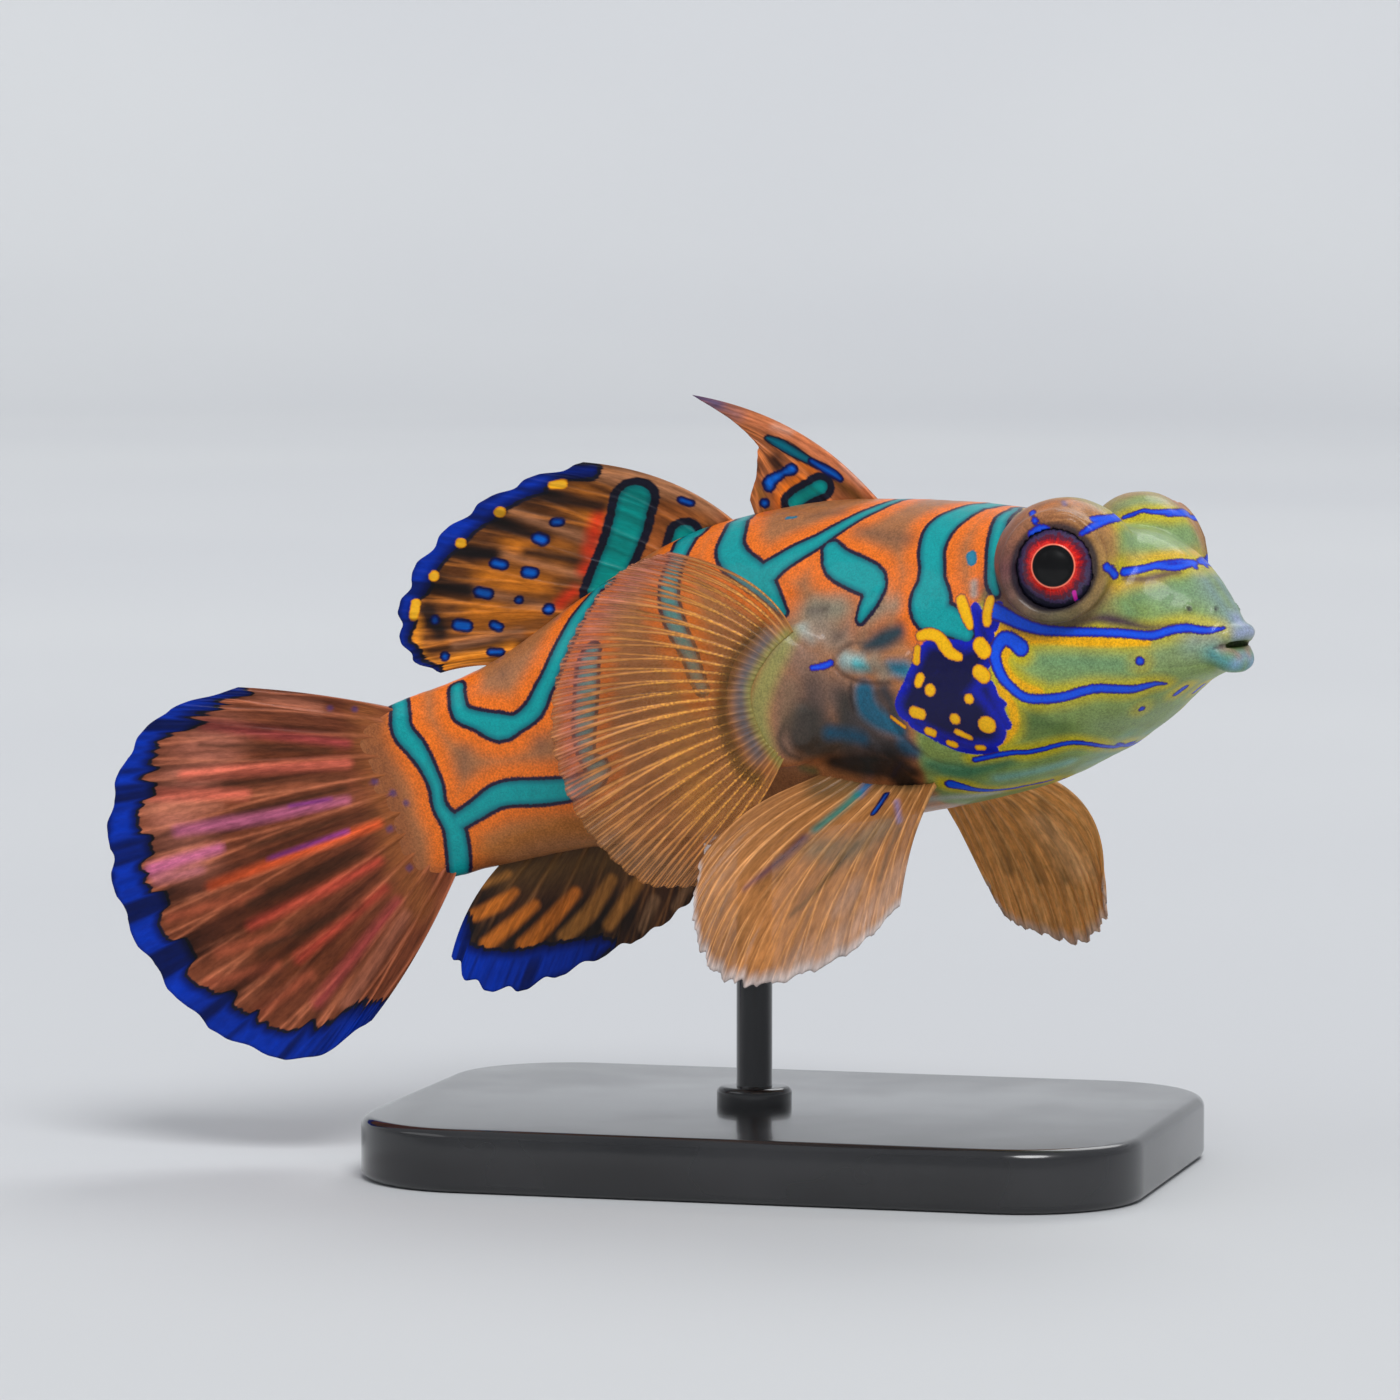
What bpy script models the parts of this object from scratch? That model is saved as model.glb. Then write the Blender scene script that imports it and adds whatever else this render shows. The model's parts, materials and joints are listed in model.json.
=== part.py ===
"""Life-size display model of a mandarinfish, swimming, on a small stand.

The fish is shaped straight, in its own coordinates in millimetres: s runs back from the tip of the snout,
y is towards the fish's left and z towards its back. A smooth spine then bends every point into the pose.
World coordinates are metres, +Z up, +X the way the fish swims, with the origin under the middle of the base.
"""

import math

import bmesh
import bpy
import numpy as np
from mathutils import Matrix, Vector

MM = 0.001
GAP = 0.3

# The fish as a whole, in millimetres
STANDARD_LENGTH = 50.5
HEAD_END = 17.6
TRUNK_END = 46.2

# The pose: the height of the spine, and how it turns to the side and dips towards the tail
ANCHOR_S = 34.4
ANCHOR = (-5.0, 0.0, 26.0)
YAW_HEAD, YAW_TAIL = -21.0, 13.0
YAW_FROM, YAW_TO = 9.0, 51.0
PITCH_HEAD, PITCH_TAIL = 4.0, 21.0
PITCH_FROM, PITCH_TO = 25.0, 45.0
SPINE_START, SPINE_END, SPINE_STEP = -10.0, 90.0, 0.1

# Body sections: distance from the snout, back height, belly depth, half width, height of the widest line
BODY_SECTIONS = (
    (0.9, 3.0, -0.3, 1.25, 1.5),
    (2.2, 4.9, 0.1, 2.4, 1.5),
    (4.0, 6.7, 0.9, 3.8, 1.7),
    (6.2, 7.8, 2.5, 4.9, 1.5),
    (9.0, 8.3, 4.1, 5.7, 0.9),
    (13.5, 9.2, 5.8, 6.7, 0.4),
    (19.0, 9.9, 6.9, 7.1, 0.3),
    (26.0, 10.2, 7.7, 6.7, 0.5),
    (33.0, 9.3, 7.9, 5.4, 0.5),
    (39.0, 7.2, 7.0, 4.0, 0.2),
    (45.0, 5.4, 5.9, 2.6, -0.2),
    (50.5, 5.3, 5.2, 1.35, 0.0),
    (52.0, 5.4, 5.3, 1.2, 0.0),
)
SECTION_POINTS = 36
SIDE_POWER, BACK_POWER = 0.9, 0.95
HEAD_STEPS, TRUNK_STEPS, STALK_STEPS, BODY_STEPS = 14, 20, 4, 46

# Eyes, with the raised cups of skin that they sit in
EYE_RADIUS = 2.55
EYE_CENTRE = (8.9, 4.75, 6.1)
EYE_AXIS = (-0.42, 0.9, 0.05)
CUP_CENTRE = (9.1, 3.85, 6.35)
CUP_RADII = (3.9, 3.5, 3.0)
RIM_RADIUS, RIM_THICKNESS, RIM_OUT = 2.6, 0.42, 1.35

# Mouth and nostrils
MOUTH_CORNER = (1.6, 1.5, 1.5)
UPPER_LIP_FRONT = (0.7, 0.0, 2.1)
LOWER_LIP_FRONT = (1.1, 0.0, 0.57)
UPPER_LIP_THICKNESS, LOWER_LIP_THICKNESS, LIP_CORNER_THICKNESS = 0.5, 0.65, 0.34
CLEFT_CENTRE, CLEFT_RADII = (1.2, 0.0, 1.47), (1.6, 1.8, 0.18)
NOSTRIL, NOSTRIL_RADIUS = (2.8, 1.7, 3.9), 0.42
NOSTRIL_PIT, NOSTRIL_PIT_OUT = 0.2, (0.0, 0.2, 0.35)

# Fins in general: thickness of the web and of the ridge over a ray, and how both thin out towards the tips
WEB, WEB_TAPER = 0.5, 0.3
RIDGE, RIDGE_TAPER, RIDGE_FOOT = 0.4, 0.7, 0.3
WEB_NOTCH = 0.015
ROOT, CAUDAL_ROOT, ROOT_SHARE, ROOT_LESS_AT_ENDS = 0.6, 2.0, 0.12, 0.6
ROW_POWER = 1.15

# Each fin's outline: its base line, its tips, and the bow of its middle, all from the first ray to the last
DORSAL_FIRST = (
    ((22.0, 0.0, 8.6), (29.7, 0.0, 8.2)),
    ((32.2, 0.0, 16.8), (30.0, 0.0, 14.3), (29.6, 0.0, 13.0), (30.2, 0.0, 10.6)),
    ((-0.5, 0.0, 0.7), (0.3, 0.0, 0.2), (0.0, 0.0, 0.0)),
)
DORSAL_FIRST_RAYS = 4
DORSAL_SECOND = (
    ((30.3, 0.0, 8.4), (37.0, 0.0, 6.5), (42.8, 0.0, 4.4)),
    ((37.3, 0.0, 14.4), (40.4, 0.0, 14.4), (43.7, 0.0, 13.6), (46.8, 0.0, 12.0), (48.8, 0.0, 9.6),
     (48.9, 0.0, 7.3), (47.6, 0.0, 5.9)),
    ((-0.4, 0.0, 0.5), (0.0, 0.0, 0.0), (0.0, 0.0, 0.3)),
)
DORSAL_SECOND_RAYS = 9
ANAL = (
    ((36.0, 0.0, -6.2), (41.0, 0.0, -5.4), (45.9, 0.0, -4.4)),
    ((38.2, 0.0, -10.9), (41.0, 0.0, -11.8), (44.2, 0.0, -12.2), (47.4, 0.0, -12.4), (50.4, 0.0, -12.3),
     (52.4, 0.0, -11.0), (52.8, 0.0, -9.2)),
    ((-0.6, 0.0, -0.3), (0.0, 0.0, 0.0), (0.5, 0.0, 0.6)),
)
ANAL_RAYS = 9
CAUDAL = (
    ((50.8, 0.0, 5.0), (50.8, 0.0, -4.9)),
    ((58.5, 0.0, 9.2), (63.3, 0.0, 9.3), (67.0, 0.0, 6.6), (69.0, 0.0, 2.2), (69.0, 0.0, -2.9),
     (67.0, 0.0, -8.2), (62.8, 0.0, -11.7), (58.3, 0.0, -11.0)),
    ((0.0, 0.0, 0.2), (0.0, 0.0, 0.0), (0.0, 0.0, -0.4)),
)
CAUDAL_RAYS = 12

# Paired fins of the right side, the one that shows, and the left pelvic fin, which is held less open
LOBE_CENTRE, LOBE_RADII, LOBE_TURN = (26.4, -7.0, -0.1), (4.6, 1.35, 4.6), -14.0
PECTORAL = (
    ((26.1, -7.4, 3.6), (28.8, -8.1, 2.4), (30.2, -8.3, 0.2), (29.6, -8.1, -2.4), (27.6, -7.6, -3.9)),
    ((32.0, -9.7, 8.5), (34.8, -10.2, 8.0), (37.6, -10.8, 6.0), (40.3, -11.2, 3.0), (41.6, -11.4, -0.6),
     (41.1, -11.3, -5.0), (38.3, -11.0, -8.6), (33.8, -9.8, -9.8)),
    ((-1.0, 0.3, 0.3), (0.0, 0.5, 0.0), (-0.6, 0.3, -0.3)),
)
PECTORAL_RAYS = 22
PELVIC_RIGHT = (
    ((18.6, -2.9, -5.0), (21.3, -4.0, -5.3), (25.0, -5.0, -4.7)),
    ((16.0, -12.0, -11.4), (18.0, -14.0, -13.5), (22.2, -15.4, -14.9), (27.2, -15.6, -15.1),
     (31.6, -14.6, -13.6), (33.3, -13.2, -11.2), (32.5, -11.6, -8.4)),
    ((-0.5, -1.2, 0.8), (0.0, -1.2, 0.8), (0.3, -0.6, 0.4)),
)
PELVIC_LEFT = (
    ((18.3, 2.9, -5.0), (20.4, 3.6, -5.5), (23.2, 4.4, -5.2)),
    ((17.0, 11.4, -12.2), (17.5, 12.5, -14.4), (19.0, 12.8, -15.8), (20.6, 12.2, -15.3), (22.0, 11.0, -14.3),
     (22.6, 9.8, -12.0)),
    ((-1.0, 1.6, 1.2), (0.0, 1.2, 0.8), (0.4, 0.6, 0.4)),
)
PELVIC_RAYS = 12

# Edges sharper than this stay crisp when shaded
SHARP_ANGLE = math.radians(40)

# Stand
BASE_SIZE, BASE_CORNER, BASE_EDGE = (44.0, 30.0, 3.5), 7.0, 0.6
ROD_RADIUS, ROD_S = 1.0, 31.2
ROD_SINK = 3.0


def catmull_rom(points, t):
    """Points of a smooth curve through the given ones, at t from 0 to 1."""
    p = np.asarray(points, float)
    p = np.vstack([2 * p[0] - p[1], p, 2 * p[-1] - p[-2]])
    count = len(p) - 3
    x = np.clip(np.asarray(t, float), 0, 1) * count
    i = np.minimum(x.astype(int), count - 1)
    f = (x - i)[..., None]
    a, b, c, d = p[i], p[i + 1], p[i + 2], p[i + 3]
    return 0.5 * (2 * b + (c - a) * f + (2 * a - 5 * b + 4 * c - d) * f**2 + (3 * b - a - 3 * c + d) * f**3)


def smooth_step(x, low, high):
    t = np.clip((np.asarray(x, float) - low) / (high - low), 0, 1)
    return t * t * (3 - 2 * t)


def section_at(s):
    """Back, belly, half width and height of the widest line at s, by a smooth curve through the sections."""
    table = np.array(BODY_SECTIONS)
    index = np.interp(s, table[:, 0], np.arange(len(table)))
    return catmull_rom(table[:, 1:], index / (len(table) - 1)).T


def body_point(s, angle, swell=0.0):
    """A point of the straight body's surface. The angle is 0 on the back, and 90 degrees on the left side."""
    back, belly, half_width, widest = section_at(s)
    up = np.cos(angle)
    side = np.sin(angle)
    height = np.where(up > 0, back - widest, belly + widest) + swell
    y = (half_width + swell) * np.sign(side) * np.abs(side) ** SIDE_POWER
    z = widest + height * np.sign(up) * np.abs(up) ** BACK_POWER
    return np.stack([np.broadcast_to(s, y.shape), y, z], -1)


def spine_table():
    """Stations along the spine, with the place and the direction of the body at each."""
    s = np.arange(SPINE_START, SPINE_END, SPINE_STEP)
    yaw = np.radians(YAW_HEAD + (YAW_TAIL - YAW_HEAD) * smooth_step(s, YAW_FROM, YAW_TO))
    pitch = np.radians(PITCH_HEAD + (PITCH_TAIL - PITCH_HEAD) * smooth_step(s, PITCH_FROM, PITCH_TO))
    ahead = np.stack([np.cos(pitch) * np.cos(yaw), np.cos(pitch) * np.sin(yaw), np.sin(pitch)], -1)
    place = -np.cumsum(ahead, 0) * SPINE_STEP
    anchor = [np.interp(ANCHOR_S, s, place[:, i]) for i in range(3)]
    place += np.array(ANCHOR) - np.array(anchor)
    return s, yaw, pitch, place


SPINE = spine_table()


def posed(points):
    """Straight fish coordinates, in millimetres, to the pose, in metres."""
    points = np.asarray(points, float)
    s, yaw, pitch, place = SPINE
    at = points[..., 0]
    yaw, pitch = np.interp(at, s, yaw), np.interp(at, s, pitch)
    centre = np.stack([np.interp(at, s, place[:, i]) for i in range(3)], -1)
    ahead = np.stack([np.cos(pitch) * np.cos(yaw), np.cos(pitch) * np.sin(yaw), np.sin(pitch)], -1)
    level = np.stack([-np.sin(yaw), np.cos(yaw), np.zeros_like(yaw)], -1)
    upright = np.cross(ahead, level)
    return (centre + points[..., 1:2] * level + points[..., 2:3] * upright) * MM


def new_object(name, points, faces):
    """A mesh object, still in millimetres."""
    mesh = bpy.data.meshes.new(name)
    mesh.from_pydata([tuple(p) for p in points], [], [tuple(int(i) for i in f) for f in faces])
    mesh.validate()
    obj = bpy.data.objects.new(name, mesh)
    bpy.context.scene.collection.objects.link(obj)
    return obj


def remesh_with(obj, change):
    """Opens the object's mesh as a bmesh, lets change(bm) work on it, and writes it back."""
    bm = bmesh.new()
    bm.from_mesh(obj.data)
    change(bm)
    bm.to_mesh(obj.data)
    bm.free()
    return obj


def islands(bm):
    """The closed surfaces of a bmesh, each as a list of faces."""
    bm.faces.ensure_lookup_table()
    seen, found = set(), []
    for start in bm.faces:
        if start in seen:
            continue
        seen.add(start)
        island, front = [], [start]
        while front:
            face = front.pop()
            island.append(face)
            for edge in face.edges:
                for other in edge.link_faces:
                    if other not in seen:
                        seen.add(other)
                        front.append(other)
        found.append(island)
    return found


def volume_of(faces):
    total = 0.0
    for face in faces:
        a, b, c = (v.co for v in face.verts)
        total += a.dot(b.cross(c)) / 6
    return total


def keep_largest(bm):
    bmesh.ops.triangulate(bm, faces=bm.faces[:])
    bmesh.ops.dissolve_degenerate(bm, edges=bm.edges[:], dist=1e-4)
    bmesh.ops.triangulate(bm, faces=bm.faces[:])
    found = sorted(islands(bm), key=lambda island: abs(volume_of(island)))
    loose = [face for island in found[:-1] for face in island]
    if loose:
        bmesh.ops.delete(bm, geom=loose, context="FACES")
    bmesh.ops.recalc_face_normals(bm, faces=bm.faces[:])


def move_to(obj, collection):
    for old in list(obj.users_collection):
        old.objects.unlink(obj)
    collection.objects.link(obj)


def boolean(obj, operation, others):
    """Applies one Boolean of the object with others, removes them, and keeps the largest closed surface."""
    tools = bpy.data.collections.new("Tools")
    bpy.context.scene.collection.children.link(tools)
    for other in others:
        move_to(other, tools)
    modifier = obj.modifiers.new("Boolean", "BOOLEAN")
    modifier.operation = operation
    modifier.solver = "EXACT"
    modifier.operand_type = "COLLECTION"
    modifier.collection = tools
    bpy.context.view_layer.update()
    graph = bpy.context.evaluated_depsgraph_get()
    mesh = bpy.data.meshes.new_from_object(obj.evaluated_get(graph))
    obj.modifiers.clear()
    obj.data = mesh
    for other in others:
        bpy.data.objects.remove(other)
    bpy.data.collections.remove(tools)
    return remesh_with(obj, keep_largest)


def skinned_rings(rings):
    """A closed surface over rings of points, with a flat cap at each end."""
    rings = np.asarray(rings)
    rows, count = rings.shape[:2]
    faces = []
    for i in range(rows - 1):
        for j in range(count):
            k = (j + 1) % count
            faces.append((i * count + j, i * count + k, (i + 1) * count + k, (i + 1) * count + j))
    faces.append(range(count)[::-1])
    faces.append(range((rows - 1) * count, rows * count))
    obj = new_object("rings", rings.reshape(-1, 3), faces)
    return remesh_with(obj, lambda bm: bmesh.ops.recalc_face_normals(bm, faces=bm.faces[:]))


def body_length(start, end, steps, swell=0.0):
    """A length of the straight body."""
    angle = np.linspace(0, 2 * math.pi, SECTION_POINTS, endpoint=False)
    stations = np.linspace(start, end, steps + 1)
    return skinned_rings([body_point(s, angle, swell) for s in stations])


def ellipsoid(name, centre, radii, turn=None, segments=20, rings=12):
    def shape(bm):
        bmesh.ops.create_uvsphere(bm, u_segments=segments, v_segments=rings, radius=1.0)
        matrix = Matrix.Translation(centre) @ (turn or Matrix.Identity(4)) @ Matrix.Diagonal((*radii, 1))
        bmesh.ops.transform(bm, matrix=matrix, verts=bm.verts[:])
        bmesh.ops.recalc_face_normals(bm, faces=bm.faces[:])

    return remesh_with(new_object(name, [], []), shape)


def tube(name, points, radii):
    """A round tube of eight sides through the points, as a curve with a bevel, made a mesh."""
    curve = bpy.data.curves.new(name, "CURVE")
    curve.dimensions = "3D"
    curve.bevel_depth = 1.0
    curve.bevel_resolution = 2
    curve.use_fill_caps = True
    spline = curve.splines.new("POLY")
    spline.points.add(len(points) - 1)
    for point, place, radius in zip(spline.points, points, radii):
        point.co = (*place, 1.0)
        point.radius = radius
    source = bpy.data.objects.new(name + "_curve", curve)
    bpy.context.scene.collection.objects.link(source)
    bpy.context.view_layer.update()
    graph = bpy.context.evaluated_depsgraph_get()
    mesh = bpy.data.meshes.new_from_object(source.evaluated_get(graph))
    obj = bpy.data.objects.new(name, mesh)
    obj.matrix_world = source.matrix_world
    bpy.context.scene.collection.objects.link(obj)
    bpy.data.objects.remove(source)

    def weld(bm):
        bmesh.ops.remove_doubles(bm, verts=bm.verts[:], dist=0.001)
        bmesh.ops.recalc_face_normals(bm, faces=bm.faces[:])

    return remesh_with(obj, weld)


def towards(direction):
    """The turn that takes +Z to the direction."""
    return Vector(direction).to_track_quat("Z", "Y").to_matrix().to_4x4()


def ring(name, centre, axis, radius, thickness):
    bpy.ops.mesh.primitive_torus_add(
        major_radius=radius, minor_radius=thickness, major_segments=22, minor_segments=6
    )
    obj = bpy.context.object
    obj.name = name
    obj.data.transform(Matrix.Translation(centre) @ towards(axis))
    return obj


def fin_sheet(outline, rays, rows, foot=RIDGE_FOOT, root=ROOT):
    """A fin as a thin closed sheet between its base line and its tips, with a ridge along each ray.

    The outline is the base line, the line of the tips, and how far the middle bows out of the straight. The web
    between two rays begins at foot, a share of their distance, and ends a little short of the tips. The faces on
    both sides share one grid.
    """
    base, tips, bow = outline
    steps = (0.0, 0.5) if foot == 0.5 else (0.0, foot, 1 - foot)
    u = np.append((np.arange(rays - 1)[:, None] + steps).ravel(), rays - 1)
    crest = np.isclose(u % 1, 0).astype(float)
    u = u / (rays - 1)
    v = (np.arange(rows + 1) / rows) ** ROW_POWER
    start, end = catmull_rom(base, u), catmull_rom(tips, u)
    end = end + (start - end) * WEB_NOTCH * (1 - crest)[:, None]
    middle = (start + end) / 2 + catmull_rom(bow, u)
    weights = np.stack([(1 - v) * (1 - 2 * v), 4 * v * (1 - v), v * (2 * v - 1)])
    points = np.einsum("cui,cv->uvi", np.stack([start, middle, end]), weights)
    normal = np.cross(np.gradient(points, axis=0), np.gradient(points, axis=1))
    normal /= np.linalg.norm(normal, axis=-1, keepdims=True)
    thick = WEB * (1 - WEB_TAPER * v)[None, :] + RIDGE * crest[:, None] * (1 - RIDGE_TAPER * v)[None, :]
    round_end = 1 - ROOT_LESS_AT_ENDS * (2 * u - 1) ** 2
    thick = thick + root * round_end[:, None] * np.exp(-((v / ROOT_SHARE) ** 2))[None, :]
    upper = points + normal * thick[..., None] / 2
    lower = points - normal * thick[..., None] / 2
    columns, lines = upper.shape[:2]
    size = columns * lines
    index = np.arange(size).reshape(columns, lines)
    a, b, c, d = index[:-1, :-1], index[1:, :-1], index[1:, 1:], index[:-1, 1:]
    one = np.stack([a, b, c], -1).reshape(-1, 3)
    two = np.stack([a, c, d], -1).reshape(-1, 3)
    faces = np.vstack([one, two, one[:, ::-1] + size, two[:, ::-1] + size])
    rim = np.concatenate([index[:, 0], index[-1, 1:], index[-2::-1, -1], index[0, -2:0:-1]])
    after = np.roll(rim, -1)
    sides = np.vstack([
        np.stack([rim, rim + size, after + size], -1),
        np.stack([rim, after + size, after], -1),
    ])
    obj = new_object("fin", np.vstack([upper.reshape(-1, 3), lower.reshape(-1, 3)]), np.vstack([faces, sides]))
    return remesh_with(obj, lambda bm: bmesh.ops.recalc_face_normals(bm, faces=bm.faces[:]))


def mirrored(outline):
    """The same outline on the fish's other side."""
    return tuple(tuple((s, -y, z) for s, y, z in line) for line in outline)


def fish_material(name, colour, roughness):
    material = bpy.data.materials.new(name)
    material.use_nodes = True
    shader = material.node_tree.nodes["Principled BSDF"]
    shader.inputs["Base Color"].default_value = (*colour, 1)
    shader.inputs["Roughness"].default_value = roughness
    material.diffuse_color = (*colour, 1)
    return material


def bend(obj):
    """Bends a straight piece into the pose. Its length runs the other way, so its faces are turned round."""
    places = np.array([v.co for v in obj.data.vertices])
    for vertex, place in zip(obj.data.vertices, posed(places)):
        vertex.co = place
    return remesh_with(obj, lambda bm: bmesh.ops.reverse_faces(bm, faces=bm.faces[:]))


def finish(obj, name, material, collection, parent):
    """Makes a piece a named node, with its origin at its middle."""
    corners = np.array([v.co for v in obj.data.vertices])
    middle = Vector((corners.min(0) + corners.max(0)) / 2)
    obj.data.transform(Matrix.Translation(-middle))
    obj.location = middle
    obj.name = name
    obj.data.name = name
    obj.data.materials.clear()
    obj.data.materials.append(material)
    obj.data.shade_smooth()
    obj.data.set_sharp_from_angle(angle=SHARP_ANGLE)
    move_to(obj, collection)
    obj.parent = parent


def lip(name, front, thickness):
    """A lip, as a tube that bends from one corner of the mouth round the front to the other."""
    t = np.linspace(-1, 1, 11)
    turn = t * math.pi / 2
    s = MOUTH_CORNER[0] + (front[0] - MOUTH_CORNER[0]) * np.cos(turn)
    y = MOUTH_CORNER[1] * np.sin(turn)
    z = front[2] + (MOUTH_CORNER[2] - front[2]) * np.abs(t) ** 3
    radii = thickness + (LIP_CORNER_THICKNESS - thickness) * t**2
    return tube(name, np.stack([s, y, z], -1), radii)


def head():
    """The head with its eye cups, lid rims, nostrils and lips, hollowed for the eyes and cleft for the mouth."""
    obj = body_length(BODY_SECTIONS[0][0], HEAD_END, HEAD_STEPS)
    added, cut = [], []
    for side in (1, -1):
        flip = np.array((1, side, 1))
        cup, eye, axis = flip * CUP_CENTRE, flip * EYE_CENTRE, flip * EYE_AXIS
        axis = axis / np.linalg.norm(axis)
        added.append(ellipsoid("cup", cup, CUP_RADII, towards(axis)))
        added.append(ring("rim", eye + RIM_OUT * axis, axis, RIM_RADIUS, RIM_THICKNESS))
        cut.append(ellipsoid("socket", eye, (EYE_RADIUS + GAP,) * 3, segments=16, rings=10))
        nostril = flip * NOSTRIL
        added.append(ellipsoid("nostril", nostril, (NOSTRIL_RADIUS,) * 3, segments=10, rings=6))
        pit = nostril + flip * NOSTRIL_PIT_OUT
        cut.append(ellipsoid("pit", pit, (NOSTRIL_PIT,) * 3, segments=8, rings=5))
    added.append(lip("upper lip", UPPER_LIP_FRONT, UPPER_LIP_THICKNESS))
    added.append(lip("lower lip", LOWER_LIP_FRONT, LOWER_LIP_THICKNESS))
    cut.append(ellipsoid("cleft", CLEFT_CENTRE, CLEFT_RADII))
    boolean(obj, "UNION", added)
    return boolean(obj, "DIFFERENCE", cut)


def eye(side):
    centre = np.array((1, side, 1)) * EYE_CENTRE
    axis = np.array((1, side, 1)) * EYE_AXIS
    return ellipsoid("eye", centre, (EYE_RADIUS,) * 3, towards(axis))


def whole_body():
    """The whole straight body, larger all round by the gap that touching nodes keep."""
    return body_length(BODY_SECTIONS[0][0], BODY_SECTIONS[-1][0], BODY_STEPS, GAP)


def rooted(fin):
    """Cuts away what of a fin is sunk in the body."""
    return boolean(fin, "DIFFERENCE", [whole_body()])


def pectoral(side):
    """A pectoral fin with the fleshy lobe that carries it. The side is 1 for left and -1 for right."""
    turn = Matrix.Rotation(math.radians(-side * LOBE_TURN), 4, "Z")
    centre = np.array((1, -side, 1)) * LOBE_CENTRE
    lobe = ellipsoid("lobe", centre, LOBE_RADII, turn)
    outline = PECTORAL if side < 0 else mirrored(PECTORAL)
    return boolean(fin_sheet(outline, PECTORAL_RAYS, 8, foot=0.5), "UNION", [lobe])


def stand_base():
    def shape(bm):
        bmesh.ops.create_cube(bm, size=1.0)
        bmesh.ops.scale(bm, vec=BASE_SIZE, verts=bm.verts[:])
        bmesh.ops.translate(bm, vec=(0, 0, BASE_SIZE[2] / 2), verts=bm.verts[:])
        upright = [e for e in bm.edges if abs(e.verts[0].co.z - e.verts[1].co.z) > BASE_SIZE[2] / 2]
        bmesh.ops.bevel(bm, geom=upright, offset=BASE_CORNER, segments=8, profile=0.5, affect="EDGES")
        top = [e for e in bm.edges if all(v.co.z > BASE_SIZE[2] - 0.001 for v in e.verts)]
        bmesh.ops.bevel(bm, geom=top, offset=BASE_EDGE, segments=3, profile=0.5, affect="EDGES")
        bmesh.ops.scale(bm, vec=(MM, MM, MM), verts=bm.verts[:])

    return remesh_with(new_object("stand_base", [], []), shape)


def stand_rod():
    """A rod from the top of the base to the belly, cut to the belly's shape."""
    foot = posed((ROD_S, 0.0, 0.0)) / MM
    belly = posed((ROD_S, 0.0, -section_at(ROD_S)[1] + ROD_SINK)) / MM
    low, high = BASE_SIZE[2] + GAP, belly[2]

    def shape(bm):
        bmesh.ops.create_cone(bm, cap_ends=True, segments=20, radius1=ROD_RADIUS, radius2=ROD_RADIUS,
                              depth=high - low)
        bmesh.ops.translate(bm, vec=(foot[0], foot[1], (low + high) / 2), verts=bm.verts[:])

    rod = remesh_with(new_object("stand_rod", [], []), shape)
    body = bend(remesh_with(whole_body(), keep_largest))
    body.data.transform(Matrix.Scale(1 / MM, 4))
    boolean(rod, "DIFFERENCE", [body])
    rod.data.transform(Matrix.Scale(MM, 4))
    return rod


def main():
    for obj in list(bpy.data.objects):
        bpy.data.objects.remove(obj)
    collection = bpy.data.collections.new("Mandarinfish")
    bpy.context.scene.collection.children.link(collection)
    parent = bpy.data.objects.new("mandarinfish", None)
    collection.objects.link(parent)
    orange = fish_material("orange skin", (0.62, 0.22, 0.04), 0.45)
    green = fish_material("face skin", (0.30, 0.42, 0.12), 0.45)
    blue = fish_material("fin blue", (0.05, 0.14, 0.45), 0.4)
    web = fish_material("fin web", (0.55, 0.34, 0.16), 0.4)
    red = fish_material("eye", (0.45, 0.03, 0.02), 0.15)
    plastic = fish_material("stand", (0.03, 0.03, 0.03), 0.3)
    flesh = (
        ("head", head(), green),
        ("trunk", body_length(HEAD_END + GAP, TRUNK_END, TRUNK_STEPS), orange),
        ("tail_stalk", body_length(TRUNK_END + GAP, STANDARD_LENGTH, STALK_STEPS), orange),
        ("eye_left", eye(1), red),
        ("eye_right", eye(-1), red),
        ("dorsal_fin_first", rooted(fin_sheet(DORSAL_FIRST, DORSAL_FIRST_RAYS, 8)), orange),
        ("dorsal_fin_second", rooted(fin_sheet(DORSAL_SECOND, DORSAL_SECOND_RAYS, 9)), blue),
        ("anal_fin", rooted(fin_sheet(ANAL, ANAL_RAYS, 8)), blue),
        ("caudal_fin", fin_sheet(CAUDAL, CAUDAL_RAYS, 9, root=CAUDAL_ROOT), blue),
        ("pectoral_fin_left", rooted(pectoral(1)), web),
        ("pectoral_fin_right", rooted(pectoral(-1)), web),
        ("pelvic_fin_left", rooted(fin_sheet(PELVIC_LEFT, PELVIC_RAYS, 7, foot=0.5)), web),
        ("pelvic_fin_right", rooted(fin_sheet(PELVIC_RIGHT, PELVIC_RAYS, 7, foot=0.5)), web),
    )
    for name, obj, material in flesh:
        finish(bend(remesh_with(obj, keep_largest)), name, material, collection, parent)
    finish(stand_base(), "stand_base", plastic, collection, parent)
    finish(stand_rod(), "stand_rod", plastic, collection, parent)


main()
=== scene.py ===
"""Looks of the mandarinfish model: one skin with its markings, fins with rays, eyes, stand and studio.

The fish is shaped straight, in its own millimetres, as in the CAD model: s runs back from the snout, y is
towards its left and z towards its back, and a smooth spine bends it into the pose. Markings are strokes,
drawn where the photograph shows them: a stroke is a line of (x, y, half width) in the photograph's pixels,
and the view through the camera carries it onto the surface. The scene itself is in metres, with +Z up.
"""
import json
import math

import bmesh
import bpy
import numpy as np
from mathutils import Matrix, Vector, noise
from mathutils.bvhtree import BVHTree
from mathutils.geometry import barycentric_transform

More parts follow.
